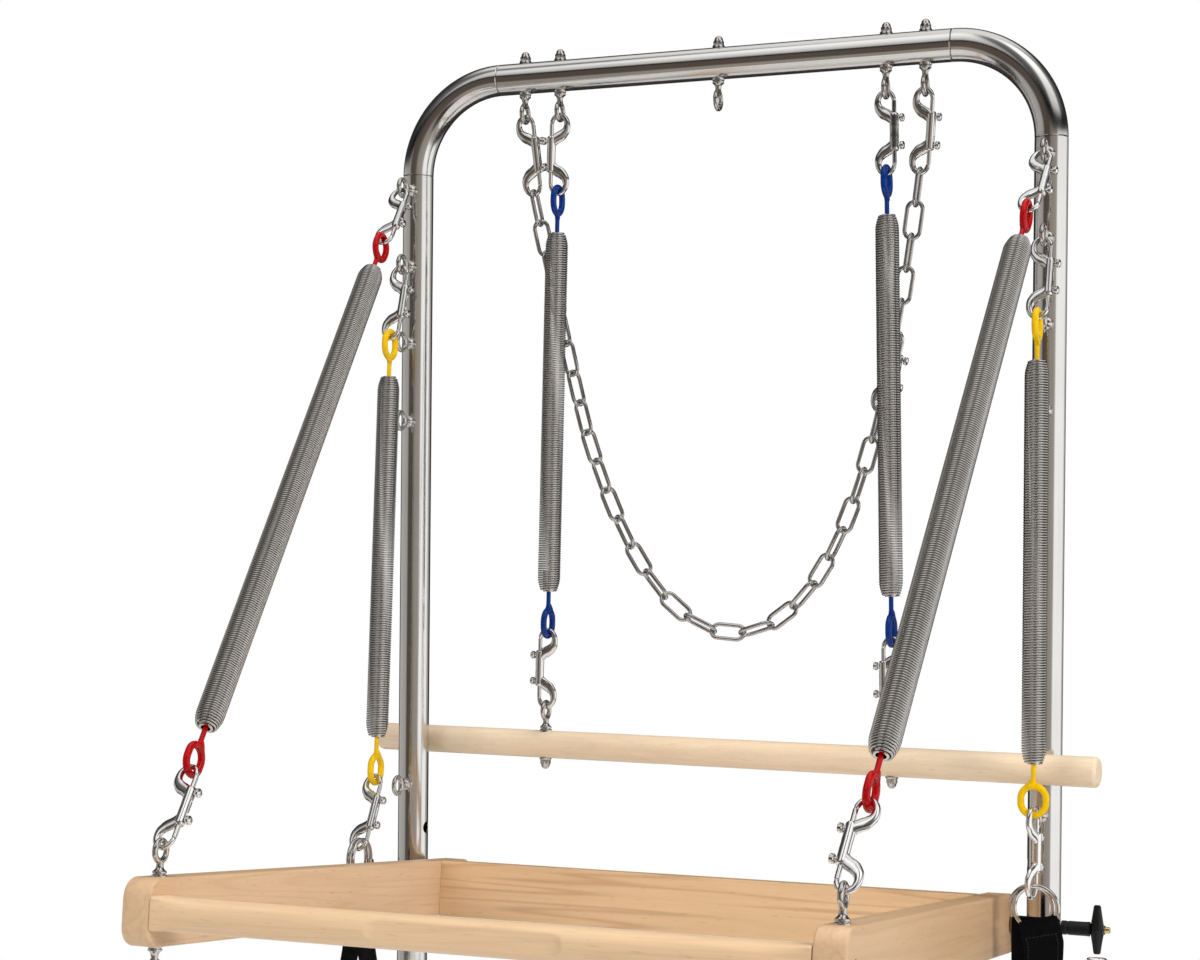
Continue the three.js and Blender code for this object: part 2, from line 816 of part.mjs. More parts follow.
// Frame tubes
for (const [label, side] of [["left", -1], ["right", 1]]) {
  const place = new THREE.Matrix4().makeTranslation(side * uprightX, 0, 0);
  addMesh(tower, `${label}_upright`, upright(side), steel, place);
  addMesh(tower, `${label}_elbow`, elbow(side), steel);
}
addMesh(tower, "crossbar", crossbar(), steel);

// Eyebolts in use on the frame
for (const [label, x] of Object.entries(crossbarEyes)) {
  const body = join(eyebolt(2 * tubeRadius, seatGap));
  addMesh(tower, `${label}_eyebolt`, body, steel, crossbarEyePlace(x));
}
for (const [label, side] of [["left", -1], ["right", 1]]) {
  for (const [colour, height] of [["red", redEyeHeight], ["yellow", yellowEyeHeight]]) {
    const seat = new THREE.Vector3(side * uprightX, -tubeRadius, height);
    const place = frame(seat, yAxis.clone().negate(), xAxis);
    const body = join(eyebolt(2 * tubeRadius, seatGap));
    addMesh(tower, `${label}_${colour}_eyebolt`, body, steel, place);
  }
}

// Push-through bar, in a frame whose origin is the middle of its pivot line
const ptb = new THREE.Group();
ptb.position.set(0, 0, pivotHeight);
ptb.rotation.x = barTilt;
ptb.updateMatrixWorld(true);
tower.add(ptb);

// A side board in its own YZ outline, with rounded ends and softened edges.
function arm(side) {
  const half = armHeight / 2;
  const shape = new THREE.Shape();
  const corner = (y, z, radius, from) => shape.absarc(y, z, radius, from, from + Math.PI / 2, false);
  const inset = armRound;
  const low = -half + inset;
  const high = half - inset;
  const front = -armFront + inset;
  const back = armBack - inset;
  const frontR = armFrontRadius - inset;
  const backR = armBackRadius - inset;
  corner(back - backR, high - backR, backR, 0);
  corner(front + frontR, high - frontR, frontR, Math.PI / 2);
  corner(front + frontR, low + frontR, frontR, Math.PI);
  corner(back - backR, low + backR, backR, (3 * Math.PI) / 2);
  const geometry = new THREE.ExtrudeGeometry(shape, {
    depth: armThickness - 2 * armRound,
    bevelEnabled: true,
    bevelSize: armRound,
    bevelThickness: armRound,
    bevelSegments: 1,
    curveSegments: cornerSteps,
  });
  geometry.translate(0, 0, armRound - armThickness / 2);
  const standing = new THREE.Matrix4().makeBasis(yAxis, zAxis, xAxis);
  geometry.applyMatrix4(standing);
  const bush = rod(bushBarrelRadius + seatGap, -armThickness, armThickness, pinSides);
  bush.rotateY(Math.PI / 2);
  const eyeHole = rod(shankRadius + seatGap, -armHeight, armHeight, fittingSides);
  eyeHole.translate(0, -ptbEyeFront, 0);
  return cut(solid(geometry), [bush, eyeHole]);
}

// A round bar along local X whose ends are square and whose middle is flattened in front.
function gripBar() {
  const half = armInner - seatGap;
  const round = gripDiameter / 2;
  const squareEnd = half - gripSquareEnd;
  const roundStart = squareEnd - gripTransition;
  const stations = [
    [half, 1, 0],
    [squareEnd, 1, 0],
    [squareEnd - gripTransition / 3, gripSquareShare, 0],
    [roundStart, 0, 0],
    [gripFlatHalf, 0, 0],
    [gripFlatHalf - gripFlatBlend, 0, 1],
  ];
  const mirrored = stations.slice().reverse().map(([x, square, flat]) => [-x, square, flat]);
  const row = [...stations, ...mirrored].reverse();
  const rings = row.map(([x, square, flat]) => {
    const points = [];
    for (let side = 0; side < gripSides; side++) {
      const angle = (2 * Math.PI * (side + 0.5)) / gripSides;
      const y = Math.cos(angle);
      const z = Math.sin(angle);
      const reach = round * (1 - square + square / Math.max(Math.abs(y), Math.abs(z)));
      const front = Math.max(y * reach, flat * (gripFlatDepth - round) - (1 - flat) * 2 * round);
      points.push(new THREE.Vector3(x, front, z * reach));
    }
    return points;
  });
  return skin(rings, false);
}

for (const [label, side] of [["left", -1], ["right", 1]]) {
  const armPlace = new THREE.Matrix4().makeTranslation(side * armX, 0, 0);
  addMesh(ptb, `ptb_${label}_arm`, arm(side), maple, armPlace);
  const eyeSeat = (height) => new THREE.Vector3(side * armX, -ptbEyeFront, height);
  const top = frame(eyeSeat(armHeight / 2), zAxis, xAxis);
  const bottom = frame(eyeSeat(-armHeight / 2), zAxis.clone().negate(), xAxis);
  const collar = collarProfile(seatGap);
  const lowerCollar = collar.map(([radius, height]) => [radius, -armHeight - height]).reverse();
  const shank = [[shankRadius, -armHeight - seatGap], [shankRadius, seatGap]];
  const stem = turned([...lowerCollar, ...shank, ...collar], fittingSides);
  const doubleEye = join([...placed([eye(), stem], top), ...placed([eye()], bottom)]);
  addMesh(ptb, `ptb_${label}_eyebolt`, doubleEye, steel);
  const flangeSeat = armThickness / 2 + seatGap;
  const boreRadius = (pinRadius + seatGap) / Math.cos(Math.PI / pinSides);
  const bore = rod(boreRadius, -armHeight, armHeight, pinSides);
  const barrel = rod(bushBarrelRadius, -armThickness / 2, flangeSeat + overrun, pinSides);
  const flange = rod(bushFlangeRadius, flangeSeat, flangeSeat + bushFlangeHeight, pinSides);
  const bushing = geometryOf(cut(join([barrel, flange]), [bore]));
  bushing.rotateY((side * Math.PI) / 2);
  bushing.translate(side * armX, 0, 0);
  addMesh(ptb, `ptb_${label}_bushing`, solid(bushing), steel);
}
const boardWidth = 2 * (armInner - seatGap);
const board = new THREE.BoxGeometry(boardWidth, boardThickness, boardHeight);
const boardPlace = new THREE.Matrix4().makeTranslation(0, -boardBack - boardThickness / 2, 0);
addMesh(ptb, "ptb_back_board", solid(board), maple, boardPlace);
const gripPlace = new THREE.Matrix4().makeTranslation(0, gripDiameter / 2 - armFront, 0);
addMesh(ptb, "ptb_grip_bar", solid(gripBar()), maple, gripPlace);

// Pull pins, drawn along local Z from the middle of the push-through bar outwards
function pullPin() {
  const start = armInner + pinEndInset;
  const stemStart = uprightX + tubeRadius + pinStemGap;
  const stemEnd = stemStart + pinStemLength;
  const handleCentre = stemEnd + handleMidRadius;
  const shaft = turned(
    [
      [0, start],
      [pinRadius - pinChamfer, start],
      [pinRadius, start + pinChamfer],
      [pinRadius, stemStart + overrun],
      [0, stemStart + overrun],
    ],
    pinSides,
  );
  const stem = rod(pinStemRadius, stemStart, stemEnd + overrun, pinSides);
  const half = handleHeight / 2;
  const handle = turned(
    [
      [0, -half],
      [handleEndRadius, -half],
      [(handleEndRadius + handleMidRadius) / 2, -half / 2],
      [handleMidRadius, 0],
      [(handleEndRadius + handleMidRadius) / 2, half / 2],
      [handleEndRadius, half],
      [0, half],
    ],
    pinSides,
  );
  handle.rotateX(Math.PI / 2);
  handle.translate(0, 0, handleCentre);
  const lanyard = roundRing(lanyardRadius, lanyardWire, eyeSteps, lanyardSides);
  lanyard.rotateX(Math.PI / 2);
  lanyard.translate(0, -half - lanyardRadius + handleEndRadius, handleCentre);
  const outer = handleCentre + handleMidRadius;
  const spaceEnd = outer - buttonDepth - buttonTravel - seatGap;
  const buttonSpace = rod(buttonRadius + seatGap, spaceEnd, outer + overrun, pinSides);
  const button = rod(buttonRadius, outer - buttonDepth, outer + buttonReach, pinSides);
  return { pin: cut(join([shaft, stem, handle, lanyard]), [buttonSpace]), button: solid(button) };
}

for (const [label, side] of [["left", -1], ["right", 1]]) {
  const outward = xAxis.clone().multiplyScalar(side);
  const sideways = new THREE.Vector3().crossVectors(zAxis, outward);
  const place = frame(new THREE.Vector3(0, 0, pivotHeight), outward, sideways);
  const { pin, button } = pullPin();
  addMesh(tower, `${label}_pull_pin`, pin, black, place);
  addMesh(tower, `${label}_pin_button`, button, brass, place);
}

// Roll-down bar: a dowel laced behind the left upright and in front of the right one
const dowelYaw = Math.asin((tubeRadius + dowelRadius + dowelClearance) / uprightX);
const dowelAlong = new THREE.Vector3(Math.cos(dowelYaw), -Math.sin(dowelYaw), 0);
const dowelEyeOffset = trapezeEyeX + dowelEyeSpread;
const dowelHeight = pivotHeight + dowelRise;
const dowelFrame = frame(new THREE.Vector3(0, 0, dowelHeight), dowelAlong, zAxis);
const dowelHalf = uprightX + dowelOverhang;
const dowelBody = turned(
  [
    [0, -dowelHalf],
    [dowelRadius - dowelEndRadius, -dowelHalf],
    [dowelRadius, dowelEndRadius - dowelHalf],
    [dowelRadius, dowelHalf - dowelEndRadius],
    [dowelRadius - dowelEndRadius, dowelHalf],
    [0, dowelHalf],
  ],
  dowelSides,
);
const dowelHoles = [-1, 1].map((side) => {
  const hole = rod(shankRadius + seatGap, -dowelRadius - overrun, dowelRadius + overrun, fittingSides);
  hole.rotateY(Math.PI / 2);
  hole.translate(0, 0, side * dowelEyeOffset);
  return hole;
});
addMesh(tower, "roll_down_bar", cut(solid(dowelBody), dowelHoles), paleMaple, dowelFrame);
for (const [label, side] of [["left", -1], ["right", 1]]) {
  const seat = dowelAlong.clone().multiplyScalar(side * dowelEyeOffset).setZ(dowelHeight + dowelRadius);
  const body = join(eyebolt(2 * dowelRadius, seatGap));
  addMesh(tower, `roll_down_${label}_eyebolt`, body, steel, frame(seat, zAxis, xAxis));
}

// Blue sets carry the roll-down bar, and their springs are as long as its height asks for
const blueEye = new THREE.Vector3(trapezeEyeX, 0, crossbarEyeHeight);
const blueTarget = dowelAlong.clone().multiplyScalar(dowelEyeOffset);
blueTarget.setZ(dowelHeight + dowelRadius + eyeReach);
const shortCoilLength = blueEye.distanceTo(blueTarget) - setLength(0);
for (const [label, side] of [["left", -1], ["right", 1]]) {
  const mirrored = new THREE.Vector3(side, side, 1);
  const eye = blueEye.clone().multiply(mirrored);
  const direction = blueTarget.clone().multiply(mirrored).sub(eye).normalize();
  addSpringSet({
    name: `blue_${label}`,
    eye,
    colour: blueDip,
    radius: blueCoilRadius,
    coilLength: shortCoilLength,
    curls: shortCoilCurls,
    snapAlong: direction,
    springAlong: direction,
    lowerAlong: direction,
    upperSide: side,
    upperTurn: side < 0 ? snapTurn : 0,
    lowerSide: -1,
    opened: false,
  });
}

// Red sets run from the uprights to the front of the push-through bar
for (const [label, side] of [["left", -1], ["right", 1]]) {
  const eye = new THREE.Vector3(side * uprightX, -tubeRadius - eyeReach, redEyeHeight);
  const target = new THREE.Vector3(side * armX, -ptbEyeFront, armHeight / 2 + eyeReach);
  target.applyMatrix4(ptb.matrixWorld).sub(eye);
  const direction = target.clone().normalize();
  const lean = direction.angleTo(zAxis.clone().negate());
  const seats = seatInEye(lean) + seatInEye(lean + barTilt);
  addSpringSet({
    name: `red_${label}`,
    eye,
    colour: redDip,
    radius: redCoilRadius,
    coilLength: target.length() - setLength(0) + 2 * hookInEye - seats,
    curls: longCoilCurls,
    snapAlong: direction,
    springAlong: direction,
    lowerAlong: direction,
    upperSide: 1,
    lowerSide: -side,
    opened: true,
  });
}

// Yellow sets rest on the spare eyebolts below them and carry the straps
const strapSnaps = {};
for (const [label, side] of [["left", -1], ["right", 1]]) {
  const eye = new THREE.Vector3(side * uprightX, -tubeRadius - eyeReach, yellowEyeHeight);
  const lean = (forward, sideways) =>
    new THREE.Vector3(sideways, -Math.sin(forward), -Math.cos(forward)).normalize();
  const lowerAlong = lean(side < 0 ? strapSnapLean : springLean, 0);
  const lowerEnd = addSpringSet({
    name: `yellow_${label}`,
    eye,
    colour: yellowDip,
    radius: yellowCoilRadius,
    coilLength: shortCoilLength,
    curls: shortCoilCurls,
    snapAlong: lean(snapLean, 0),
    springAlong: lean(springLean, side > 0 ? rightSideLean : 0),
    lowerAlong,
    upperSide: 1,
    lowerSide: 1,
    lowerAcross: side > 0 ? xAxis.clone().applyAxisAngle(zAxis, rightTwist) : xAxis,
    ringFacing: side > 0 ? yAxis : xAxis,
    opened: false,
  });
  strapSnaps[label] = { lowerEnd, lowerAlong };
}

// A strap hangs from the snap's last hook by two rings; local Z points down and the rings face local Y.
function strap() {
  const drop = strapRingRadius;
  const pieces = [];
  for (const side of [-1, 1]) {
    const ring = roundRing(strapRingRadius, strapRingWire, strapRingSteps, strapRingSides);
    ring.translate(0, (side * strapRingPitch) / 2, drop);
    pieces.push(ring);
    const fold = rod(strapFoldRadius, -webbingWidth / 2, webbingWidth / 2, fittingSides);
    fold.rotateY(Math.PI / 2);
    fold.translate(0, (side * strapRingPitch) / 2, drop + strapRingRadius);
    pieces.push(fold);
  }
  const bottom = drop + strapRingRadius + strapDrop;
  const turnCentre = bottom - strapSpread;
  const path = [new THREE.Vector3(0, -strapRingPitch / 2, drop + strapRingRadius)];
  for (let step = 0; step <= strapTurnSteps; step++) {
    const angle = Math.PI - (Math.PI * step) / strapTurnSteps;
    const y = strapSpread * Math.cos(angle);
    path.push(new THREE.Vector3(0, y, turnCentre + strapSpread * Math.sin(angle)));
  }
  path.push(new THREE.Vector3(0, strapRingPitch / 2, drop + strapRingRadius));
  const half = webbingWidth / 2;
  const rings = path.map((point, i) => {
    const before = path[Math.max(i - 1, 0)];
    const after = path[Math.min(i + 1, path.length - 1)];
    const run = after.clone().sub(before).normalize();
    const thick = new THREE.Vector3().crossVectors(run, xAxis).multiplyScalar(webbingThickness / 2);
    const wide = xAxis.clone().multiplyScalar(half);
    const corner = (a, b) => point.clone().addScaledVector(wide, a).addScaledVector(thick, b);
    return [corner(-1, -1), corner(1, -1), corner(1, 1), corner(-1, 1)];
  });
  pieces.push(skin(rings, false));
  return join(pieces);
}

for (const [label, { lowerEnd, lowerAlong }] of Object.entries(strapSnaps)) {
  const facing = label === "left" ? yAxis : xAxis;
  const origin = along(lowerEnd, lowerAlong, -strapSeat);
  const place = frame(origin, zAxis.clone().negate(), facing);
  addMesh(tower, `${label}_strap`, strap(), webbing, place);
}

// Safety chain: three snaps and their links on one catenary,
// in a plane that leans back from the crossbar eyes.
// Behind the left trapeze spring the chain is pushed back by a bow.
const linkReach = linkWire - linkOverlap / 2;
const snapReach = snapWire - linkOverlap / 2;
const chainSag = chainEyeX * chainSagShare;

// A point of the catenary above its lowest point, at an arc length from it.
function catenary(arc) {
  const x = chainSag * Math.asinh(arc / chainSag);
  return new THREE.Vector3(x, 0, chainSag * (Math.cosh(x / chainSag) - 1));
}

function chain() {
  const span = chainSag * Math.sinh((chainEyeX - chainEndInset) / chainSag);
  const snapDrop = Math.sqrt((snapLength - snapReach) ** 2 - chainEndInset ** 2);
  const lift = -snapDrop - catenary(span).z;
  const bowLength = 2 * span * chainBowShare;
  const bow = (arc) => chainBow * Math.sin((Math.PI * Math.min(arc + span, bowLength)) / bowLength);
  const point = (arc) => catenary(arc).add(new THREE.Vector3(0, bow(arc), lift));
  const snapPitch = snapLength - 2 * snapReach;
  const pitch = (2 * span - snapPitch) / chainLinks;
  const pieces = [];
  const addLink = (from, to, roll) => {
    const direction = to.clone().sub(from);
    const halfLength = direction.length() / 2 + linkReach;
    const link = ovalRing(linkHalfWidth, halfLength, linkWire, linkSteps, linkSides);
    const middle = from.clone().add(to).divideScalar(2);
    const across = new THREE.Vector3().crossVectors(yAxis, direction).normalize();
    across.applyAxisAngle(direction.normalize(), roll);
    pieces.push(...placed([link], frame(middle, direction, across)));
  };
  const addSnap = (from, to) => {
    const direction = to.clone().sub(from).normalize();
    const start = along(to, direction, snapReach - snapLength);
    pieces.push(...placed(snap(false), frame(start, direction, xAxis)));
  };
  addSnap(new THREE.Vector3(-chainEyeX, 0, 0), point(-span));
  addSnap(new THREE.Vector3(chainEyeX, 0, 0), point(span));
  let place = span;
  for (let i = 0; i < chainShortRun; i++) {
    addLink(point(place), point(place - pitch), ((i + 1) * Math.PI) / 2);
    place -= pitch;
  }
  addSnap(point(place), point(place - snapPitch));
  place -= snapPitch;
  // The long run turns by a further quarter, so that both its ends stand square to their snaps.
  const longRun = chainLinks - chainShortRun;
  for (let i = 0; i < longRun; i++) {
    const twist = ((Math.PI / 2) * i) / (longRun - 1);
    addLink(point(place), point(place - pitch), ((i + 1) * Math.PI) / 2 + twist);
    place -= pitch;
  }
  return join(pieces);
}

// The chain's hooks keep clear of their eyes over its whole swing.
const chainAngles = [0, 1 / 4, 1 / 2, 3 / 4, 1].map((share) => chainTilt + chainSwing * share);
const chainSeat = Math.min(...chainAngles.map(seatInEye));
const chainPlace = new THREE.Matrix4().makeRotationX(chainTilt);
chainPlace.setPosition(0, 0, crossbarEyeHeight - chainSeat);
addMesh(tower, "safety_chain", chain(), steel, chainPlace);

export default tower;
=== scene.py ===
"""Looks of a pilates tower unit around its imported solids. Lengths are millimetres until a piece is made."""
import math

import bpy
import numpy as np
from mathutils import Matrix


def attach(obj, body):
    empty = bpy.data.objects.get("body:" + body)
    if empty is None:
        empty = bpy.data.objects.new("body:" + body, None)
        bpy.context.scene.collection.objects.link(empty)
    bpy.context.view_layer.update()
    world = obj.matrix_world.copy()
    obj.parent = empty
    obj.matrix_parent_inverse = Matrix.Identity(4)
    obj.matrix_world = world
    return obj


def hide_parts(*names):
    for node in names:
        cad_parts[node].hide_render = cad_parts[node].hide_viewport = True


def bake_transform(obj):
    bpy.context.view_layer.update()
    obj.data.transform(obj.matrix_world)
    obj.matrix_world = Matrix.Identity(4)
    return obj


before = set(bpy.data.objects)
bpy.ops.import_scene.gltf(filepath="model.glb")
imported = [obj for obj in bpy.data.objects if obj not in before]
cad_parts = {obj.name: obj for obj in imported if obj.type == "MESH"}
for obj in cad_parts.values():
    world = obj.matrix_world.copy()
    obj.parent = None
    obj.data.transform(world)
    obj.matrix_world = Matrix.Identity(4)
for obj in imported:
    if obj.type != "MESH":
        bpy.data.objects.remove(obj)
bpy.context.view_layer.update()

MM = 0.001
TURN = 2 * math.pi
X, Y, Z = np.eye(3)
DOWN = -Z
SIDES = (("left", -1), ("right", 1))
SHARP = 32

# Sizes, as in the solids
LINK_GAP = 0.35
TUBE, WALL, BEND = 16.7, 3.2, 100
UPRIGHT_X, CROSSBAR_Z = 350, 1184.6
EYE_R, EYE_WIRE, EYE_REACH = 9, 2.5, 22
RED_Z, YELLOW_Z, SPARE_EYES = 1066.5, 982.8, (898, 812, 412)
SNAP, SNAP_WIRE, BOLT_R = 84.4, 2.5, 2.2
HOOK_W, HOOK_H = 8.5, 11
RING_WIRE, RING_W, RING_H = 3.5, 12, 14
STEM_R, STEM = 2.4, 20.5
SPRING_WIRE, RED_COIL, YELLOW_COIL, BLUE_COIL = 2.5, 13.5, 12.25, 12.5
TAPER, TIP_SHARE = 16, 0.7
PIVOT_Z, SPARE_PIVOT, TILT = 300, 63, -0.094
ARM_IN, ARM_T, ARM_H, ARM_FRONT, ARM_BACK = 289.6, 27.6, 59, 622.7, 18
BOARD_BACK, BOARD_T = 27, 28
GRIP, PTB_EYE = 30, 588.6
DOWEL_R, DOWEL_HALF, DOWEL_YAW, DOWEL_EYE, DOWEL_Z = 15, 411.5, 0.0988, 200, 459.06
TRAPEZE_TWIST = 0.18
SNAP_LEAN, YELLOW_LEAN, YELLOW_SIDE, LEFT_LEAN, RIGHT_TURN = 0.31, 0.055, 0.012, 0.5, 1.3
STRAP_RING, STRAP_WIRE, STRAP_PITCH = 20.25, 2.25, 5.2
WEB_W, WEB_T = 37, 2.6
STRAP_DROP, STRAP_SPREAD, STRAP_SEAT, STRAP_FOLD = 215, 26, 10.5, 31.85
FAN, FAN_TOP, FAN_LOW = (13, -1), 55.0, 235.0
CHAIN_TILT, CHAIN_SWING, CHAIN_SAG, CHAIN_INSET = 0.122, 0.262, 82, 6.9
CHAIN_X, TRAPEZE_X = 221.5, 180.5
CHAIN_LINKS, CHAIN_SHORT, CHAIN_BOW, BOW_SHARE = 31, 5, 7, 0.24
LINK_WIRE, LINK_W, LINK_OVERLAP = 2.15, 8.1, 0.3

# Sizes of what only the scene draws
EASE, SEAM = 0.6, 0.2
FOOT_PLUG, FOOT_PLUG_R = 14, 6
SPIGOT, SPIGOT_IN, SPIGOT_OUT = 13, 30, 4
PIN_HOLE, PIN_RIM = 5.05, 6.4
KNOB_PLACE, BOLT_ROOT, BOLT_INSET, BOLT_EASE = 28, 32, 1.2, 0.3
SLOTS, SLOT_TURN, SLOT_R = ((26.0, 36.5), (47.9, 58.4)), 0.36, 3.3
STEM_IN, BORED_STEM_IN, PLUG = 2, 6.5, 22
THREAD, STITCH, STITCH_STEP = 0.45, 1.1, 3.5
GRIP_FLAT, GRIP_SQUARE, GRIP_FADE = 3.0, 2.5, 42
SURROUND_R, FLOOR_R = 6000, 1000

# Mesh helpers


def unit(v):
    v = np.asarray(v, float)
    return v / np.linalg.norm(v, axis=-1, keepdims=True)


def angle_between(a, b):
    return math.acos(max(-1.0, min(1.0, float(unit(a) @ unit(b)))))


def place(origin, z, near_x):
    """The 4x4 matrix of a local frame with its origin, its Z and a direction near its X."""
    w = unit(z)
    v = unit(np.cross(w, near_x))
    m = np.eye(4)
    m[:3, 0], m[:3, 1], m[:3, 2], m[:3, 3] = np.cross(v, w), v, w, origin
    return m


def turn_x(angle):
    m = np.eye(4)
    c, s = math.cos(angle), math.sin(angle)
    m[1:3, 1:3] = [[c, -s], [s, c]]
    return m


def shift(x=0, y=0, z=0):
    m = np.eye(4)
    m[:3, 3] = x, y, z
    return m


def moved(shapes, m):
    """Shapes are (points, faces) pairs, all moved by one matrix."""
    return [(p @ m[:3, :3].T + m[:3, 3], f) for p, f in shapes]


def skin(rings, closed=False):
    """A surface over rows of points, each row a closed ring of the same count."""
    rings = np.asarray(rings, float)
    rows, count = rings.shape[:2]
    points = rings.reshape(-1, 3)
    i = np.arange(count)
    j = (i + 1) % count
    faces = []
    for row in range(rows if closed else rows - 1):
        a, b = row * count, ((row + 1) % rows) * count
        faces += np.stack([a + i, a + j, b + j, b + i], 1).tolist()
    if not closed:
        faces.append(list(range(count))[::-1])
        faces.append([(rows - 1) * count + k for k in range(count)])
    return points, faces


def sweep(path, radius, sides=16, normal=None, closed=False, flat=1.0):
    """A wire along a path. Its section's second axis, that flat scales, stays near the normal."""
    path = np.asarray(path, float)
    if closed:
        tangent = unit(np.roll(path, -1, 0) - np.roll(path, 1, 0))
    else:
        tangent = unit(np.gradient(path, axis=0))
    normal = np.broadcast_to(Y if normal is None else normal, path.shape)
    u = unit(np.cross(tangent, normal))
    v = np.cross(u, tangent)
    r = np.broadcast_to(radius, len(path))[:, None, None]
    a = TURN * np.arange(sides) / sides
    ca, sa = np.cos(a)[:, None], np.sin(a)[:, None]
    flat = np.broadcast_to(flat, len(path))[:, None, None]
    rings = path[:, None] + r * (ca * u[:, None] + flat * sa * v[:, None])
    return skin(rings, closed)


def rounded_ends(path, radius):
    """A path and its radii with round ends added."""
    a = np.linspace(0.15, math.pi / 2, 4)[:, None]
    head = path[0] + unit(path[0] - path[1]) * radius[0] * np.cos(a)
    tail = path[-1] + unit(path[-1] - path[-2]) * radius[-1] * np.cos(a[::-1])
    rise = np.sin(a[:, 0])
    radius = np.concatenate([radius[0] * rise, radius[1:-1], radius[-1] * rise[::-1]])
    return np.vstack([head, path[1:-1], tail]), radius


def revolve(profile, sides=32, shape=None, closed=False):
    """A body turned about local Z from (radius, height) pairs, with small rings at the axis."""
    a = TURN * np.arange(sides) / sides
    rings = []
    for r, h in profile:
        r = shape(max(r, 0.01), a) if shape else max(r, 0.01)
        rings.append(np.stack([r * np.cos(a), r * np.sin(a), np.full(sides, float(h))], 1))
    return skin(rings, closed)


def hollow(profile, sides=64):
    """A turned body with a bore: the profile runs round the wall once."""
    return revolve(profile, sides, closed=True)


def hexagon(across):
    """A limit that makes a turned body six-sided where its radius is large enough."""
    inner = across * math.cos(math.pi / 6)

    def shape(r, a):
        fold = (a + math.pi / 6) % (math.pi / 3) - math.pi / 6
        return np.minimum(r, inner / np.cos(fold))

    return shape


def smooth_path(keys, per):
    """A Catmull-Rom curve through key points."""
    k = np.asarray(keys, float)
    k = np.vstack([2 * k[0] - k[1], k, 2 * k[-1] - k[-2]])
    out = []
    for i in range(1, len(k) - 2):
        for t in np.arange(per) / per:
            out.append(
                0.5 * (2 * k[i] + (k[i + 1] - k[i - 1]) * t
                       + (2 * k[i - 1] - 5 * k[i] + 4 * k[i + 1] - k[i + 2]) * t * t
                       + (3 * k[i] - k[i - 1] - 3 * k[i + 1] + k[i + 2]) * t ** 3))
    out.append(k[-2])
    return np.array(out)


def mesh_object(name, points, faces):
    """An object in the scene, from points in millimetres."""
    mesh = bpy.data.meshes.new(name)
    mesh.from_pydata((np.asarray(points) * MM).tolist(), [], faces)
    obj = bpy.data.objects.new(name, mesh)
    bpy.context.scene.collection.objects.link(obj)
    return obj


def piece(name, body, nodes, slot, *dressed, blend=None, sharp=SHARP, uv=None):
    """One object in metres from (shapes, material) pairs, that stands for nodes.

    It rides on a body, or, where blend is given, stays free of bodies with its transform applied.
    """
    points, faces, index, count = [], [], [], 0
    for number, (shapes, _) in enumerate(dressed):
        for p, f in shapes:
            points.append(p)
            faces += [[k + count for k in face] for face in f]
            index += [number] * len(f)
            count += len(p)
    obj = mesh_object(name, np.vstack(points), faces)
    mesh = obj.data
    for _, material in dressed:
        mesh.materials.append(material)
    mesh.polygons.foreach_set("material_index", index)
    if uv is not None:
        layer = mesh.uv_layers.new(name="UVMap")
        loops = np.zeros(len(mesh.loops), int)
        mesh.loops.foreach_get("vertex_index", loops)
        layer.data.foreach_set("uv", np.asarray(uv, np.float32)[loops].ravel())
    mesh.shade_smooth()
    mesh.set_sharp_from_angle(angle=math.radians(sharp))
    mesh.update()
    if nodes:
        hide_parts(*nodes)
    if blend:
        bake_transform(obj)
    else:
        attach(obj, body)
    return obj


def drilled(obj, cutters):
    """Cuts shapes out of a piece and keeps the result as its mesh."""
    for points, faces in cutters:
        tool = mesh_object("cutter", points, faces)
        cut = obj.modifiers.new("cut", "BOOLEAN")
        cut.object, cut.operation, cut.solver = tool, "DIFFERENCE", "EXACT"
        view = bpy.context.evaluated_depsgraph_get()
        result = bpy.data.meshes.new_from_object(obj.evaluated_get(view))
        obj.modifiers.clear()
        obj.data = result
        bpy.data.objects.remove(tool)
    obj.data.shade_smooth()
    obj.data.set_sharp_from_angle(angle=math.radians(SHARP))


# Materials


def srgb(r, g, b):
    """A colour in the photograph's 0 to 255 values, as the linear value that a shader takes."""
    return [c / 12.92 if c <= 0.04045 else ((c + 0.055) / 1.055) ** 2.4 for c in (r / 255, g / 255, b / 255)]


def rgba(colour):
    """A colour, or a grey given by one number, with its alpha."""
    return (*np.broadcast_to(colour, 3).tolist(), 1)


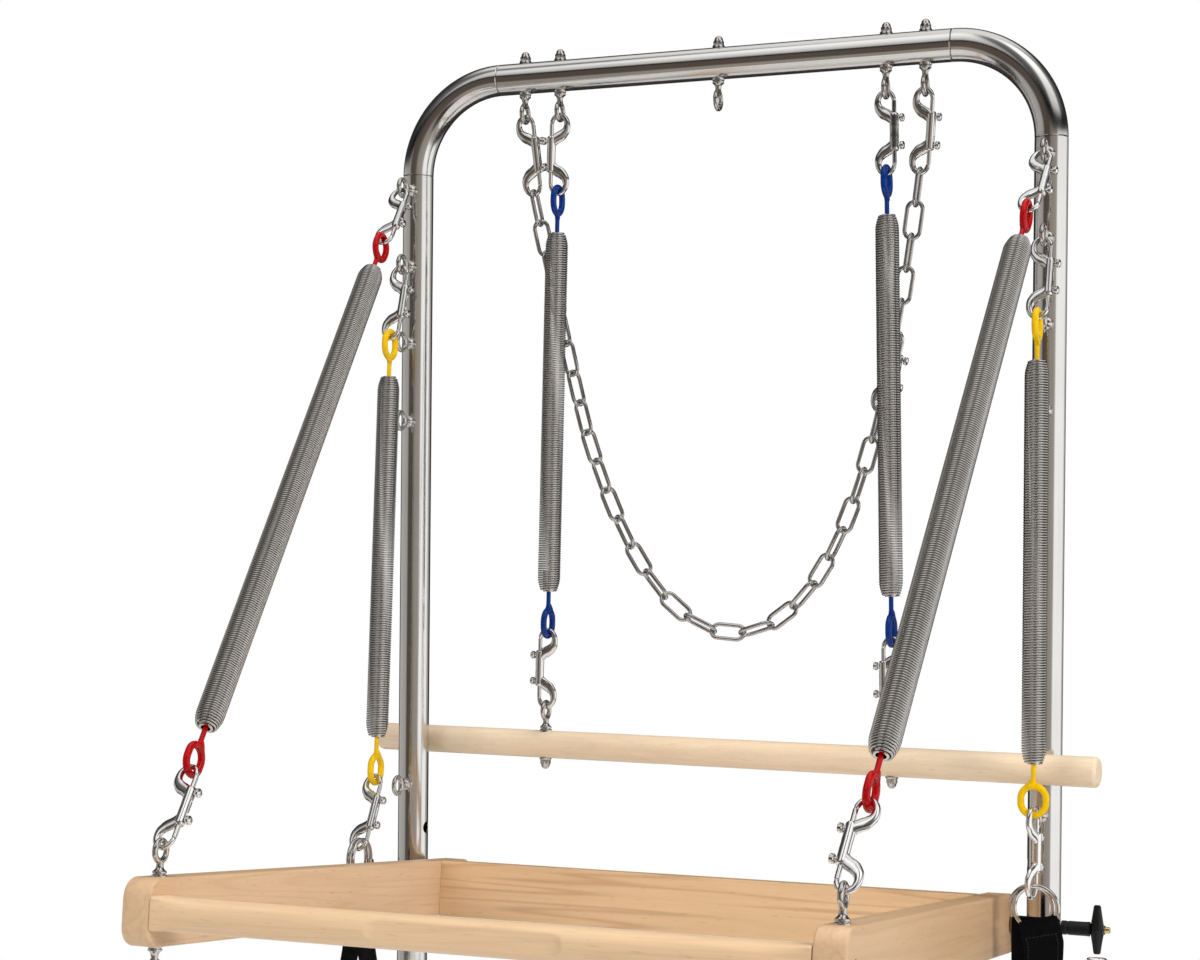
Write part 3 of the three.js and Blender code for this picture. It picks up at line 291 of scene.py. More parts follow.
class Nodes:
    """A material's node tree, with short calls for what the materials here use."""

    def __init__(self, name):
        self.material = bpy.data.materials.new(name)
        self.material.use_nodes = True
        self.tree = self.material.node_tree
        self.shader = self.tree.nodes["Principled BSDF"]
        self.coord = self.tree.nodes.new("ShaderNodeTexCoord")

    def put(self, socket, value):
        """Links an output to a socket, or sets a colour or another value there."""
        if hasattr(value, "is_output"):
            self.tree.links.new(value, socket)
        elif socket.type == "RGBA":
            socket.default_value = rgba(value)
        else:
            socket.default_value = value

    def add(self, kind, settings=(), **inputs):
        node = self.tree.nodes.new("ShaderNode" + kind)
        for key, value in dict(settings).items():
            setattr(node, key, value)
        for key, value in inputs.items():
            self.put(node.inputs[key.replace("_", " ")], value)
        return node

    def noise(self, scale, detail, roughness, turned=0.0):
        """Noise in object coordinates, turned back about X and then scaled evenly or along each axis."""
        at = self.add("Mapping", {"vector_type": "TEXTURE"}, Vector=self.coord.outputs["Object"],
                      Scale=[float(1 / s) for s in np.broadcast_to(scale, 3)], Rotation=(turned, 0, 0))
        noise = self.add("TexNoise", Vector=at.outputs[0], Scale=1.0, Detail=detail, Roughness=roughness)
        return noise.outputs[0]

    def math(self, operation, *values):
        node = self.add("Math", {"operation": operation})
        for socket, value in zip(node.inputs, values):
            self.put(socket, value)
        return node.outputs[0]

    def times(self, a, b):
        return self.math("MULTIPLY", a, b)

    def fit(self, value, factor, offset):
        return self.math("MULTIPLY_ADD", value, factor, offset)

    def ramp(self, value, stops, smooth=False):
        node = self.add("ValToRGB")
        self.put(node.inputs[0], value)
        band = node.color_ramp
        band.interpolation = "EASE" if smooth else "LINEAR"
        while len(band.elements) < len(stops):
            band.elements.new(0.5)
        for element, (at, colour) in zip(band.elements, stops):
            element.position = at
            element.color = rgba(colour)
        return node.outputs[0]

    def mix(self, share, a, b, blend="MIX"):
        node = self.add("Mix", {"data_type": "RGBA", "blend_type": blend})
        for socket, value in ((0, share), (6, a), (7, b)):
            self.put(node.inputs[socket], value)
        return node.outputs[2]

    def bump(self, height, distance, strength=1.0):
        return self.add("Bump", Height=height, Distance=distance, Strength=strength).outputs[0]

    def finish(self, **values):
        for key, value in values.items():
            self.put(self.shader.inputs[key.replace("_", " ")], value)
        return self.material


def steel(name, colour, rough, grain, depth=0.00002, spread=0.08):
    """Polished metal with fine lines along one axis, faint smears and small changes of tone."""
    n = Nodes(name)
    lines = n.noise(grain, 4.0, 0.6)
    smear = n.noise(9, 3.0, 0.55)
    tone = n.ramp(smear, [(0.3, [c * 0.92 for c in colour]), (0.7, colour)])
    streak = n.ramp(lines, [(0.25, 0.9), (0.75, 1)])
    shade = n.mix(1, tone, streak, "MULTIPLY")
    wear = n.fit(smear, spread, rough - spread / 2)
    gloss = n.fit(lines, spread * 0.6, n.math("SUBTRACT", wear, spread * 0.3))
    return n.finish(Base_Color=shade, Metallic=1.0, Roughness=gloss, Normal=n.bump(lines, depth, 0.5))


def wood(name, along, pale, warm, line, figure=1.0, turned=TILT):
    """Maple: long wavy growth lines along one axis, fibres, small pores and a satin varnish."""
    n = Nodes(name)

    def noise(across, length, detail, roughness):
        return n.noise([length if i == along else across for i in range(3)], detail, roughness, turned)

    body = noise(30, 1.1, 2.0, 0.4)
    wave = n.math("SINE", n.times(body, 70.0))
    late = n.ramp(wave, [(0.0, 0), (0.4, 0.1), (0.9, 0.7), (1.0, 1)])
    broad = noise(9, 1.1, 3.0, 0.5)
    streak = noise(190, 5, 3.0, 0.6)
    fibre = noise(1500, 28, 3.0, 0.65)
    fleck = noise(420, 60, 1.0, 0.5)
    base = n.mix(n.ramp(broad, [(0.34, 0), (0.68, 1)], True), pale, warm)
    lined = n.mix(n.times(late, 0.13 * figure), base, line)
    pores = n.ramp(fleck, [(0.66, 0), (0.75, 1)])
    dotted = n.mix(n.times(pores, 0.22), lined, line)
    streaked = n.mix(1, dotted, n.ramp(streak, [(0.3, 0.93), (0.7, 1.02)]), "MULTIPLY")
    tinted = n.mix(1, streaked, n.ramp(fibre, [(0.3, 0.95), (0.7, 1.02)]), "MULTIPLY")
    height = n.math("ADD", n.times(fibre, 0.6), n.times(late, -0.4))
    gloss = n.fit(fibre, 0.16, 0.36)
    return n.finish(Base_Color=tinted, Roughness=gloss, Normal=n.bump(height, 0.00012, 0.45),
                    Coat_Weight=0.25, Coat_Roughness=0.22, Specular_IOR_Level=0.4)


def dip(name, colour):
    """Thick dipped plastic: glossy, slightly uneven, a little darker in its thin places."""
    n = Nodes(name)
    run = n.noise(130, 2.0, 0.5)
    fine = n.noise(900, 2.0, 0.5)
    shade = n.ramp(run, [(0.25, [c * 0.82 for c in colour]), (0.7, colour)])
    gloss = n.fit(fine, 0.04, 0.12)
    return n.finish(Base_Color=shade, Roughness=gloss, Normal=n.bump(run, 0.00004, 0.3),
                    Specular_IOR_Level=0.26)


def moulded(name, colour, rough=0.42):
    """Black moulded plastic with a fine spark-eroded grain."""
    n = Nodes(name)
    grain = n.noise(2600, 2.0, 0.6)
    rub = n.noise(70, 3.0, 0.6)
    shade = n.ramp(rub, [(0.35, colour), (0.8, [c * 1.9 + 0.004 for c in colour])])
    gloss = n.fit(rub, 0.18, rough - 0.08)
    return n.finish(Base_Color=shade, Roughness=gloss, Normal=n.bump(grain, 0.00006, 0.5),
                    Specular_IOR_Level=0.3)


def woven():
    """Black nylon webbing: ribs and diagonal yarns, from its width and length in UV, with painted shade in
    the weave's low places.
    """
    n = Nodes("nylon_webbing")
    split = n.add("SeparateXYZ", Vector=n.coord.outputs["UV"])
    across, length = split.outputs[0], split.outputs[1]
    rib = n.math("SINE", n.times(length, TURN / 2.1))
    yarn = n.math("SINE", n.times(across, TURN / 1.5))
    cross = n.times(rib, yarn)
    slant = n.math("ADD", across, n.times(length, 0.7))
    twill = n.math("SINE", n.times(slant, TURN / 2.9))
    fuzz = n.noise(1400, 3.0, 0.7)
    height = n.math("ADD", n.fit(cross, 0.5, n.times(twill, 0.3)), fuzz)
    # The colour follows the weave's height: it is darker in the low places between ribs and yarns, which is
    # painted shade, and the fuzz adds random tone.
    shade = n.ramp(n.fit(height, 0.35, 0.3), [(0.2, srgb(2, 2, 3)), (0.9, srgb(16, 16, 18))])
    return n.finish(Base_Color=shade, Roughness=0.82, Normal=n.bump(height, 0.0003, 0.8),
                    Specular_IOR_Level=0.1)


STEEL = [0.73, 0.72, 0.70]
tube_steel = steel("polished_tube", STEEL, 0.13, (900, 900, 5))
bar_steel = steel("polished_crossbar", STEEL, 0.13, (5, 900, 900))
bend_steel = steel("polished_bend", STEEL, 0.14, (60, 700, 60))
bolt_steel = steel("eyebolt_steel", [0.64, 0.61, 0.58], 0.17, 300)
cast_steel = steel("cast_snap", [0.84, 0.83, 0.815], 0.14, 180, 0.00004)
wire_steel = steel("spring_wire", [0.58, 0.565, 0.54], 0.15, 60, 0.000005, 0.06)
link_steel = steel("chain_wire", [0.62, 0.605, 0.59], 0.18, 260, 0.00004, 0.1)
ring_steel = steel("strap_ring", [0.74, 0.72, 0.70], 0.16, 200)
bronze = steel("bushing_bronze", [0.20, 0.165, 0.12], 0.34, 400, 0.00004, 0.14)
brass = steel("brass_button", [0.80, 0.58, 0.24], 0.24, 500, 0.00003, 0.1)
arm_wood = wood("maple_arm", 1, srgb(222, 186, 147), srgb(213, 172, 130), srgb(164, 108, 66))
board_wood = wood("maple_board", 0, srgb(232, 192, 147), srgb(219, 175, 128), srgb(156, 98, 56), 2.2)
grip_wood = wood("maple_grip", 0, srgb(238, 206, 166), srgb(230, 192, 150), srgb(182, 130, 88), 0.8)
dowel_wood = wood("maple_dowel", 0, srgb(247, 223, 190), srgb(240, 211, 176), srgb(200, 152, 112), 0.6, 0.0)
DIPS = {"red": dip("red_dip", srgb(178, 0, 6)), "yellow": dip("yellow_dip", srgb(248, 200, 0)),
        "blue": dip("blue_dip", srgb(0, 50, 128))}
black = moulded("black_plastic", srgb(14, 14, 15))
nylon = woven()
thread = moulded("black_thread", srgb(24, 24, 27), 0.6)


def metal(name, body, node, shapes, material=bolt_steel):
    """A polished piece that stands for one node."""
    return piece(name, body, [node], "polished_steel", (shapes, material))


# Tubes


def spigot(end):
    """An elbow's spigot along local Z, inside the tube that ends at a height."""
    low, high = end - SPIGOT_IN, end + SPIGOT_OUT
    return revolve([(0, low), (SPIGOT - EASE, low), (SPIGOT, low + 1), (SPIGOT, high), (0, high)], 40)


elbow_foot = CROSSBAR_Z - BEND
elbow_end = UPRIGHT_X - BEND
along_crossbar = place((0, 0, CROSSBAR_Z), X, Y)


def elbow():
    """The right elbow: a quarter bend with eased ends, and its two spigots."""
    low, high = SEAM / BEND, math.pi / 2 - SEAM / BEND
    rim = EASE / BEND
    a = np.concatenate([[low, low + rim], np.linspace(low + 5 * rim, high - 5 * rim, 40), [high - rim, high]])
    # Each ring stands square to the bend, so that both ends are flat.
    out = np.stack([np.cos(a), 0 * a, np.sin(a)], 1)
    radii = np.full(len(a), TUBE)
    radii[[0, -1]] -= EASE
    s = TURN * np.arange(64) / 64
    round_tube = np.cos(s)[:, None] * out[:, None] + np.sin(s)[:, None] * Y
    rings = ([elbow_end, 0, elbow_foot] + BEND * out)[:, None] + radii[:, None, None] * round_tube
    return [skin(rings[::-1])] + moved([spigot(elbow_foot)], shift(UPRIGHT_X)) + moved(
        [spigot(elbow_end)], along_crossbar)


bore, head = TUBE - WALL, elbow_foot - SEAM
wall = hollow([(bore, FOOT_PLUG), (bore, head), (TUBE - EASE, head), (TUBE, head - EASE), (TUBE, 1.5),
               (TUBE - 1.5, 0), (9, 0), (9, 1.2), (FOOT_PLUG_R, 1.2), (FOOT_PLUG_R, FOOT_PLUG)])
rim, depth = TUBE + 3, TUBE - 1.6
pin_hole = revolve([(0, -rim), (PIN_RIM, -rim), (PIN_HOLE, -depth), (PIN_HOLE, depth), (PIN_RIM, rim),
                    (0, rim)], 40)
spare_hole = revolve([(0, 2), (6, 2), (6, TUBE - 2.2), (7.4, TUBE + 2.4), (0, TUBE + 2.4)], 40)
foot_plug = revolve([(0, 1.4), (FOOT_PLUG_R - 0.2, 1.4), (FOOT_PLUG_R - 0.2, 12), (0, 12)], 32)
for label, side in SIDES:
    x = side * UPRIGHT_X
    upright = f"{label}_upright"
    tube = metal(f"{upright}_tube", "tower_frame", upright, moved([wall], shift(x)), tube_steel)
    drilled(tube, moved([pin_hole], place((x, 0, PIVOT_Z), X, Y))
            + moved([spare_hole], place((x, 0, PIVOT_Z + SPARE_PIVOT), -side * X, Y)))
    metal(f"{label}_foot_plug", "tower_frame", upright, moved([foot_plug], shift(x)), black)
    bend = elbow() if side > 0 else moved(elbow(), np.diag([-1.0, -1, 1, 1]))
    metal(f"{label}_elbow_bend", "tower_frame", f"{label}_elbow", bend, bend_steel)

end = elbow_end - SEAM
bar_wall = hollow([(bore, -end), (bore, end), (TUBE - EASE, end), (TUBE, end - EASE), (TUBE, EASE - end),
                   (TUBE - EASE, -end)])
metal("crossbar_tube", "tower_frame", "crossbar", moved([bar_wall], along_crossbar), bar_steel)

# Eyebolts


def acorn_nut(base, height, corner, dome):
    """A chamfered hexagon nut from a base height upwards, with a dome on top."""
    flats, top, chamfer = corner * math.cos(math.pi / 6), base + height, 0.55
    body = [(0, base), (flats, base), (corner, base + chamfer), (corner, top - chamfer), (flats, top),
            (0, top)]
    cap = [(0, top - 1), (corner * 0.86, top - 0.2)]
    cap += [(corner * 0.8 * math.cos(t), top + 0.5 + (dome - 0.5) * math.sin(t))
            for t in np.linspace(0.05, 1.5, 9)]
    return [revolve(body, 48, hexagon(corner)), revolve(cap + [(0, top + dome)], 32)]


def eye_loop():
    """The eye of an eyebolt: a forged ring that thickens into its neck."""
    a = np.linspace(-math.pi / 2, 3 * math.pi / 2, 49)[:-1]
    ring = np.stack([0 * a, EYE_R * np.cos(a), EYE_REACH + EYE_R * np.sin(a)], 1)
    near = np.exp(-((((a + 3 * math.pi / 2) % TURN) - math.pi) / 0.5) ** 2)
    return [sweep(ring, EYE_WIRE + 0.35 * near, 18, X, True)]


def shoulder(sink=1.4):
    """The two-step shoulder under an eye and the waisted neck above it."""
    return [revolve([(0, -sink), (6.6, -sink), (6.6, 0.9), (6.3, 1.5), (5.2, 1.9), (5.2, 2.4), (6.2, 2.8),
                     (6.3, 3.4), (6.1, 4.3), (5.0, 5.2), (3.9, 6.4), (3.3, 8.2), (3.1, 10.6), (3.3, 12.6),
                     (0, 13)], 40)]


def eyebolt(grip):
    """An eyebolt through a thing as thick as its grip, with a washer and an acorn nut on the far side."""
    washer = revolve([(0, -1.4), (6.6, -1.4), (6.6, 0.9), (6.3, 1.4), (0, 1.4)], 40)
    far = moved([washer, *acorn_nut(1.4, 5, 5.8, 5.5)], place((0, 0, -grip - 0.3), -Z, X))
    shank = revolve([(0, -grip), (3, -grip), (3, 0), (0, 0)], 20)
    return eye_loop() + shoulder() + far + [shank]


def frame_eyebolt(name, node, at):
    metal(name, "tower_frame", node, moved(eyebolt(2 * TUBE), at))


for name, x in (("chain_left", -CHAIN_X), ("trapeze_left", -TRAPEZE_X), ("centre", 0),
                ("trapeze_right", TRAPEZE_X), ("chain_right", CHAIN_X)):
    frame_eyebolt(f"{name}_eyebolt_and_nut", f"{name}_eyebolt", place((x, 0, CROSSBAR_Z - TUBE), -Z, X))
for label, side in SIDES:
    used = [(f"{colour}_eyebolt_and_nut", f"{colour}_eyebolt", z)
            for colour, z in (("red", RED_Z), ("yellow", YELLOW_Z))]
    spare = [(f"spare_eyebolt_{i}", "upright", z) for i, z in enumerate(SPARE_EYES, 1)]
    for name, node, z in used + spare:
        frame_eyebolt(f"{label}_{name}", f"{label}_{node}", place((side * UPRIGHT_X, -TUBE, z), -Y, X))

# Snaps


def hook():
    """One cast hook of a snap, from inside its shank round to the tip that its bolt meets."""
    a = np.linspace(-2.2, 1.46, 28)
    arc = np.stack([HOOK_W * np.sin(a), 0 * a, HOOK_H - HOOK_H * np.cos(a)], 1)
    root = smooth_path([(8.6, 0, 34), (7.4, 0, 29.4), (3.6, 0, 25.6), (-2.6, 0, 21.9), tuple(arc[0])], 5)
    path = np.vstack([root[:-1], arc])
    t = np.linspace(0, 1, len(path))
    width = np.interp(t, [0, 0.12, 0.3, 0.42, 0.52, 0.68, 0.97, 1], [4.2, 5.6, 6.0, 4.7, 3.4, 2.6, 2.3, 1.7])
    depth = np.interp(t, [0, 0.18, 0.36, 0.5, 0.64, 0.78, 0.97, 1], [4.2, 3.6, 3.0, 2.8, 2.6, 2.4, 2.3, 1.6])
    return [sweep(path, width, 20, Y, flat=depth / width)]


def shank():
    """The round shank between the hooks, with a slot on its outer side for each knob."""
    a = TURN * np.arange(40) / 40
    off = np.abs((a + math.pi) % TURN - math.pi)
    rings = []
    for r, h in ((2.6, 22.6), (3.9, 23.0), (4.6, 24.2), (4.7, 25.4), (4.7, 26.0), (4.7, 28.0), (4.7, 36.5),
                 (4.7, 37.1), (4.55, 42.2), (4.7, 47.3), (4.7, 47.9), (4.7, 56.4), (4.7, 58.4), (4.7, 59.0),
                 (4.6, 60.2), (3.9, 61.4), (2.6, 61.8)):
        slotted = any(low <= h <= high for low, high in SLOTS)
        r = np.where((off < SLOT_TURN) & slotted, SLOT_R, r)
        rings.append(np.stack([HOOK_W + r * np.cos(a), r * np.sin(a), np.full(40, h)], 1))
    return [skin(rings)]


def knob(height):
    """The grooved knob that pulls a bolt back, on its stem."""
    profile = [(0, 2), (1.7, 2), (1.7, 5.6), (3.6, 6.0), (4.2, 6.7), (3.3, 7.4), (4.2, 8.1), (4.1, 9.3),
               (3.1, 10.2), (1.5, 10.6), (0, 10.6)]
    return moved([revolve(profile, 24)], place((HOOK_W, 0, height), X, Y))


def bolt(back, tip):
    """A bolt from inside the shank to its eased tip, between two heights."""
    long = abs(tip - back)
    profile = [(0, 0), (BOLT_R, 0), (BOLT_R, long - BOLT_EASE), (BOLT_R - BOLT_EASE, long), (0, long)]
    return moved([revolve(profile, 24)], place((HOOK_W, 0, back), math.copysign(1, tip - back) * Z, X))


def half_snap(bolted=True):
    """One end of a snap: its hook, with the bolt and knob that close it."""
    return hook() + (bolt(BOLT_ROOT, HOOK_H - BOLT_INSET) + knob(KNOB_PLACE) if bolted else [])


FAR_END = np.diag([1.0, -1, -1, 1])
FAR_END[2, 3] = SNAP


def snap(far_bolt=True):
    """A double-ended snap along local Z. The far bolt is left out where it is a piece of its own."""
    return half_snap() + moved(half_snap(far_bolt), FAR_END) + shank()


def free_bolt():
    """The far bolt and its knob."""
    return bolt(SNAP - KNOB_PLACE - 3, SNAP - HOOK_H + BOLT_INSET) + knob(SNAP - KNOB_PLACE)


# Springs


def ring_and_stem(stem_end):
    """A dipped ring in local YZ with its stem along local Z."""
    a = np.linspace(0, math.pi, 21)
    top = np.stack([0 * a, RING_W * np.cos(a), RING_H - RING_W + RING_W * np.sin(a)], 1)
    loop = np.vstack([top, top * [1, -1, -1]])
    near = np.exp(-(loop[:, 1] ** 2) / 16) * (loop[:, 2] > 0)
    ring = sweep(loop, RING_WIRE - 0.15 + 0.35 * near, 18, X, True)
    # The wire's other end closes beside the stem.
    keys = [(0, 9.2, 9.8), (0.5, 6.4, 13.6), (1, 3.4, 16.4), (1.2, 1.2, 18.4), (1.2, 0.6, 19.4)]
    lap = smooth_path(keys, 4)
    path, radius = rounded_ends(lap, np.linspace(2.6, 2.1, len(lap)))
    stem = revolve([(0, 12), (3.5, 12.5), (3.5, 14.5), (3.1, 16.5), (2.6, 19), (STEM_R, 22),
                    (STEM_R, stem_end), (0, stem_end)], 20)
    return [ring, sweep(path, radius, 12, X), stem]


def coil(radius, length):
    """A close-wound helix along local Z with its wire's real pitch, drawn in at both ends."""
    wire, per_turn = SPRING_WIRE / 2, 16
    count = int((length - 2 * wire) / SPRING_WIRE * per_turn)
    t = np.arange(count + 1) / per_turn
    h = wire + (length - 2 * wire) * t / t[-1]
    near = np.clip(np.minimum(h, length - h) / TAPER, 0, 1)
    r = radius * (TIP_SHARE + (1 - TIP_SHARE) * np.sin(math.pi / 2 * near)) - wire
    path = np.stack([r * np.cos(TURN * t), r * np.sin(TURN * t), h], 1)
    return sweep(path, wire * 0.92, 6, Z)


def end_plug(radius):
    """The turned plug that fills a coil's drawn-in end, with its shoulder showing."""
    tip = radius * TIP_SHARE - SPRING_WIRE
    return revolve([(0, 0), (tip - 0.6, 0), (tip, 0.6), (tip, 3), (tip + 0.6, TAPER / 2), (tip + 0.6, PLUG),
                    (0, PLUG)], 32)


def bored_plug(radius):
    """The plug of an opened set, with a wide bore for the ring's stem to lean in."""
    tip, bore, floor, centre = radius * TIP_SHARE - SPRING_WIRE - 0.1, 4.6, 14, 0.01
    return hollow([(bore, 0), (tip - 0.5, 0), (tip, 0.5), (tip, 3), (tip + 0.5, 8), (tip + 0.5, PLUG),
                   (centre, PLUG), (centre, floor), (bore, floor)], 32)


ring_to_coil = RING_H + STEM
hook_in_eye = EYE_R - EYE_WIRE - SNAP_WIRE - LINK_GAP
hook_in_ring = RING_H - RING_WIRE - SNAP_WIRE - LINK_GAP
set_length = 2 * (hook_in_eye + SNAP + hook_in_ring + ring_to_coil)


def bend_room(angle):
    """How much a bend between a hook and its ring takes off their straight reach."""
    return SNAP_WIRE * (math.cos(angle) + abs(math.sin(angle)) - 1)


def seat_in_eye(angle):
    """How far below an eye's middle a hook sits, for its angle, as in the facetted solids."""
    room = EYE_R - EYE_WIRE - LINK_GAP
    faces = [TURN * k / 8 - angle for k in range(8)]
    return min((room - SNAP_WIRE * (abs(math.cos(f)) + abs(math.sin(f)))) / math.cos(f)
               for f in faces if math.cos(f) > 0.5)


def spring_set(name, eye, radius, length, along, across, bodies, facing=X, opened=False):
    """A whole spring set, hung in an eye.

    Along: the ways of the upper snap, the coil and the lower snap. Across: the sides of both snaps' knobs.
    Bodies: those of the upper part, the coil's far end and the lower part. Facing turns the lower ring.
    """
    upper, plug_body, lower = bodies
    snap_along, spring_along, lower_along = along
    colour = name.split("_")[0]
    coil_node, dip_slot, dipped = f"{name}_spring", f"{colour}_dip", DIPS[colour]
    hook_at = eye + snap_along * seat_in_eye(angle_between(snap_along, DOWN))
    metal(f"{name}_upper_snap_hook", upper, f"{name}_upper_snap",
          moved(snap(), place(hook_at, snap_along, across[0])), cast_steel)
    room = hook_in_ring - bend_room(angle_between(snap_along, spring_along))
    ring_at = hook_at + snap_along * SNAP + spring_along * room
    down = place(ring_at, spring_along, X)
    piece(f"{name}_upper_ring", upper, [coil_node], dip_slot,
          (moved(ring_and_stem(ring_to_coil + STEM_IN), down), dipped))
    top = down @ shift(0, 0, ring_to_coil)
    piece(f"{name}_upper_plug", upper, [coil_node], "spring_steel",
          (moved([end_plug(radius)], top), bolt_steel))
    start = ring_at + spring_along * ring_to_coil
    end = start + spring_along * length
    piece(f"{name}_coil", (upper, plug_body), [coil_node], "spring_steel",
          (moved([coil(radius, length)], top), wire_steel), blend=(start, end), sharp=180)
    lower_ring = end + spring_along * ring_to_coil
    up = place(lower_ring, -spring_along, facing)
    ring = (moved(ring_and_stem(ring_to_coil + (BORED_STEM_IN if opened else STEM_IN)), up), dipped)
    plug = moved([bored_plug(radius) if opened else end_plug(radius)], up @ shift(0, 0, ring_to_coil))
    if opened:
        metal(f"{name}_bored_plug", plug_body, f"{name}_end_plug", plug)
    piece(f"{name}_lower_ring_dipped", lower, [f"{name}_lower_ring"], dip_slot,
          *([ring] if opened else [ring, (plug, bolt_steel)]))
    room = hook_in_ring - bend_room(angle_between(lower_along, spring_along))
    lower_hook = lower_ring + spring_along * room
    at = place(lower_hook, lower_along, across[1])
    lower_snap = f"{name}_lower_snap"
    metal(f"{lower_snap}_hook", lower, lower_snap, moved(snap(not opened), at), cast_steel)
    if opened:
        metal(f"{lower_snap}_bolt_and_knob", f"{name}_bolt", f"{lower_snap}_bolt",
              moved(free_bolt(), at), cast_steel)
    return lower_hook + lower_along * SNAP


# Blue sets and the roll-down bar
dowel_along = np.array([math.cos(DOWEL_YAW), -math.sin(DOWEL_YAW), 0])
bar_eye_z = CROSSBAR_Z - TUBE - EYE_REACH
blue_top = np.array([TRAPEZE_X, 0, bar_eye_z])
blue_low = dowel_along * DOWEL_EYE + Z * (DOWEL_Z + DOWEL_R + EYE_REACH)
short_coil = np.linalg.norm(blue_low - blue_top) - set_length
for label, side in SIDES:
    flip = np.array([side, side, 1])
    eye = blue_top * flip
    along = unit(blue_low * flip - eye)
    twist = TRAPEZE_TWIST if side < 0 else 0
    spring_set(f"blue_{label}", eye, BLUE_COIL, short_coil, (along, along, along),
               (side * np.array([math.cos(twist), math.sin(twist), 0]), -X),
               ("tower_frame", "roll_down", "roll_down"))
half_round = [(0, -DOWEL_HALF), (10, -DOWEL_HALF + 0.05)]
half_round += [(DOWEL_R - 4 + 4 * math.sin(t), -DOWEL_HALF + 4 - 4 * math.cos(t))
               for t in np.linspace(0.1, math.pi / 2, 7)]
profile = half_round + [(DOWEL_R, z) for z in (-250, -120, 0, 120, 250)]
profile += [(r, -h) for r, h in half_round[::-1]]
piece("roll_down_dowel", "roll_down", ["roll_down_bar"], "pale_maple",
      (moved([revolve(profile, 64)], place((0, 0, DOWEL_Z), dowel_along, Z)), dowel_wood))
for label, side in SIDES:
    seat = dowel_along * side * DOWEL_EYE + Z * (DOWEL_Z + DOWEL_R)
    metal(f"roll_down_{label}_eyebolt_and_nut", "roll_down", f"roll_down_{label}_eyebolt",
          moved(eyebolt(2 * DOWEL_R), place(seat, Z, X)))

# Red sets
PTB = shift(0, 0, PIVOT_Z) @ turn_x(TILT)
arm_x = ARM_IN + ARM_T / 2
for label, side in SIDES:
    eye = np.array([side * UPRIGHT_X, -TUBE - EYE_REACH, RED_Z])
    target = (PTB @ [side * arm_x, -PTB_EYE, ARM_H / 2 + EYE_REACH, 1])[:3]
    along = unit(target - eye)
    lean = angle_between(along, DOWN)
    length = (np.linalg.norm(target - eye) - set_length + 2 * hook_in_eye
              - seat_in_eye(lean) - seat_in_eye(lean + TILT))
    name = f"red_{label}"
    spring_set(name, eye, RED_COIL, length, (along, along, along), (X, -side * X),
               (f"{name}_upper", f"{name}_plug", f"{name}_lower"), opened=True)

# Yellow sets and straps


def leaning(forward, sideways=0.0):
    return unit([sideways, -math.sin(forward), -math.cos(forward)])


def stadium(half_width, half_length):
    """The centre line of a ring with straight sides in local XZ."""
    a = np.linspace(0, math.pi, 13)
    top = np.stack([half_width * np.cos(a), 0 * a, half_length - half_width + half_width * np.sin(a)], 1)
    return np.vstack([top, top * [-1, 1, -1]])


def round_path(radius, steps=56):
    a = TURN * np.arange(steps) / steps
    return np.stack([radius * np.cos(a), 0 * a, radius * np.sin(a)], 1)


def strap_path():
    """The webbing's middle line in local YZ: from a tail over its ring, round the loop, to the other tail."""
    centre = 2 * STRAP_RING + STRAP_DROP - STRAP_SPREAD
    y, z = STRAP_PITCH / 2, STRAP_FOLD
    leg = [(-y - 3.3, z + 47), (-y - 3.4, z + 34), (-y - 3.9, z + 20), (-y - 4.3, z + 8), (-y - 3.4, z + 1.6),
           (-y, z - 1.2), (-y + 1.5, z + 1.0), (-y + 1.5, z + 8), (-y + 0.6, z + 20), (-y - 0.7, z + 34),
           (-y - 1.4, z + 48), (-9.5, z + 85), (-16.5, z + 125)]
    half = leg + [(STRAP_SPREAD * math.cos(t), centre + STRAP_SPREAD * math.sin(t))
                  for t in np.linspace(math.pi, math.pi / 2, 7)]
    return smooth_path([(0, p, q) for p, q in half] + [(0, -p, q) for p, q in half[-2::-1]], 5)


def ribbon(path, width, thick):
    """Flat webbing with rounded edges along a path in local YZ, and its width and length in mm as UV."""
    tangent = unit(np.gradient(path, axis=0))
    across = np.cross(tangent, X)
    run = np.concatenate([[0], np.cumsum(np.linalg.norm(np.diff(path, axis=0), axis=1))])
    half = width / 2
    edge = [(half - 0.9, thick / 2), (half - 0.25, thick * 0.36), (half, 0), (half - 0.25, -thick * 0.36),
            (half - 0.9, -thick / 2)]
    side = edge + [(half * k, -thick / 2) for k in (0.55, 0.0, -0.55)]
    ring = np.array(side + [(-u, -v) for u, v in side])
    rings = path[:, None] + ring[:, :1] * X + ring[:, 1:] * across[:, None]
    uv = [np.broadcast_to(part, rings.shape[:2]) for part in (ring[:, 0], run[:, None])]
    return skin(rings), np.stack(uv, 2).reshape(-1, 2)


def stitches():
    """Rows of thread round both doubled tails, standing just proud of the webbing."""
    low, high = STRAP_FOLD + 14, STRAP_FOLD + 41
    face = STRAP_PITCH / 2 + 3.35 + WEB_T / 2
    rows = [(X, STITCH_STEP * k - 14, z) for z in (low, high) for k in range(9)]
    rows += [(Z, x, low + 1.7 + 3.2 * k) for x in (-14, 14) for k in range(8)]
    out = []
    for sign in (-1, 1):
        for way, x, z in rows:
            y = sign * (face + np.interp(z, [low, high], [0.62, 0.0]))
            middle = np.array([x, y, z])
            reach = STITCH if way is X else 1.0
            path = [middle - way * reach - Y * sign * 0.15, middle + Y * sign * 0.3,
                    middle + way * reach - Y * sign * 0.15]
            out.append(sweep(path, THREAD, 6, Z if way is X else X))
    return out


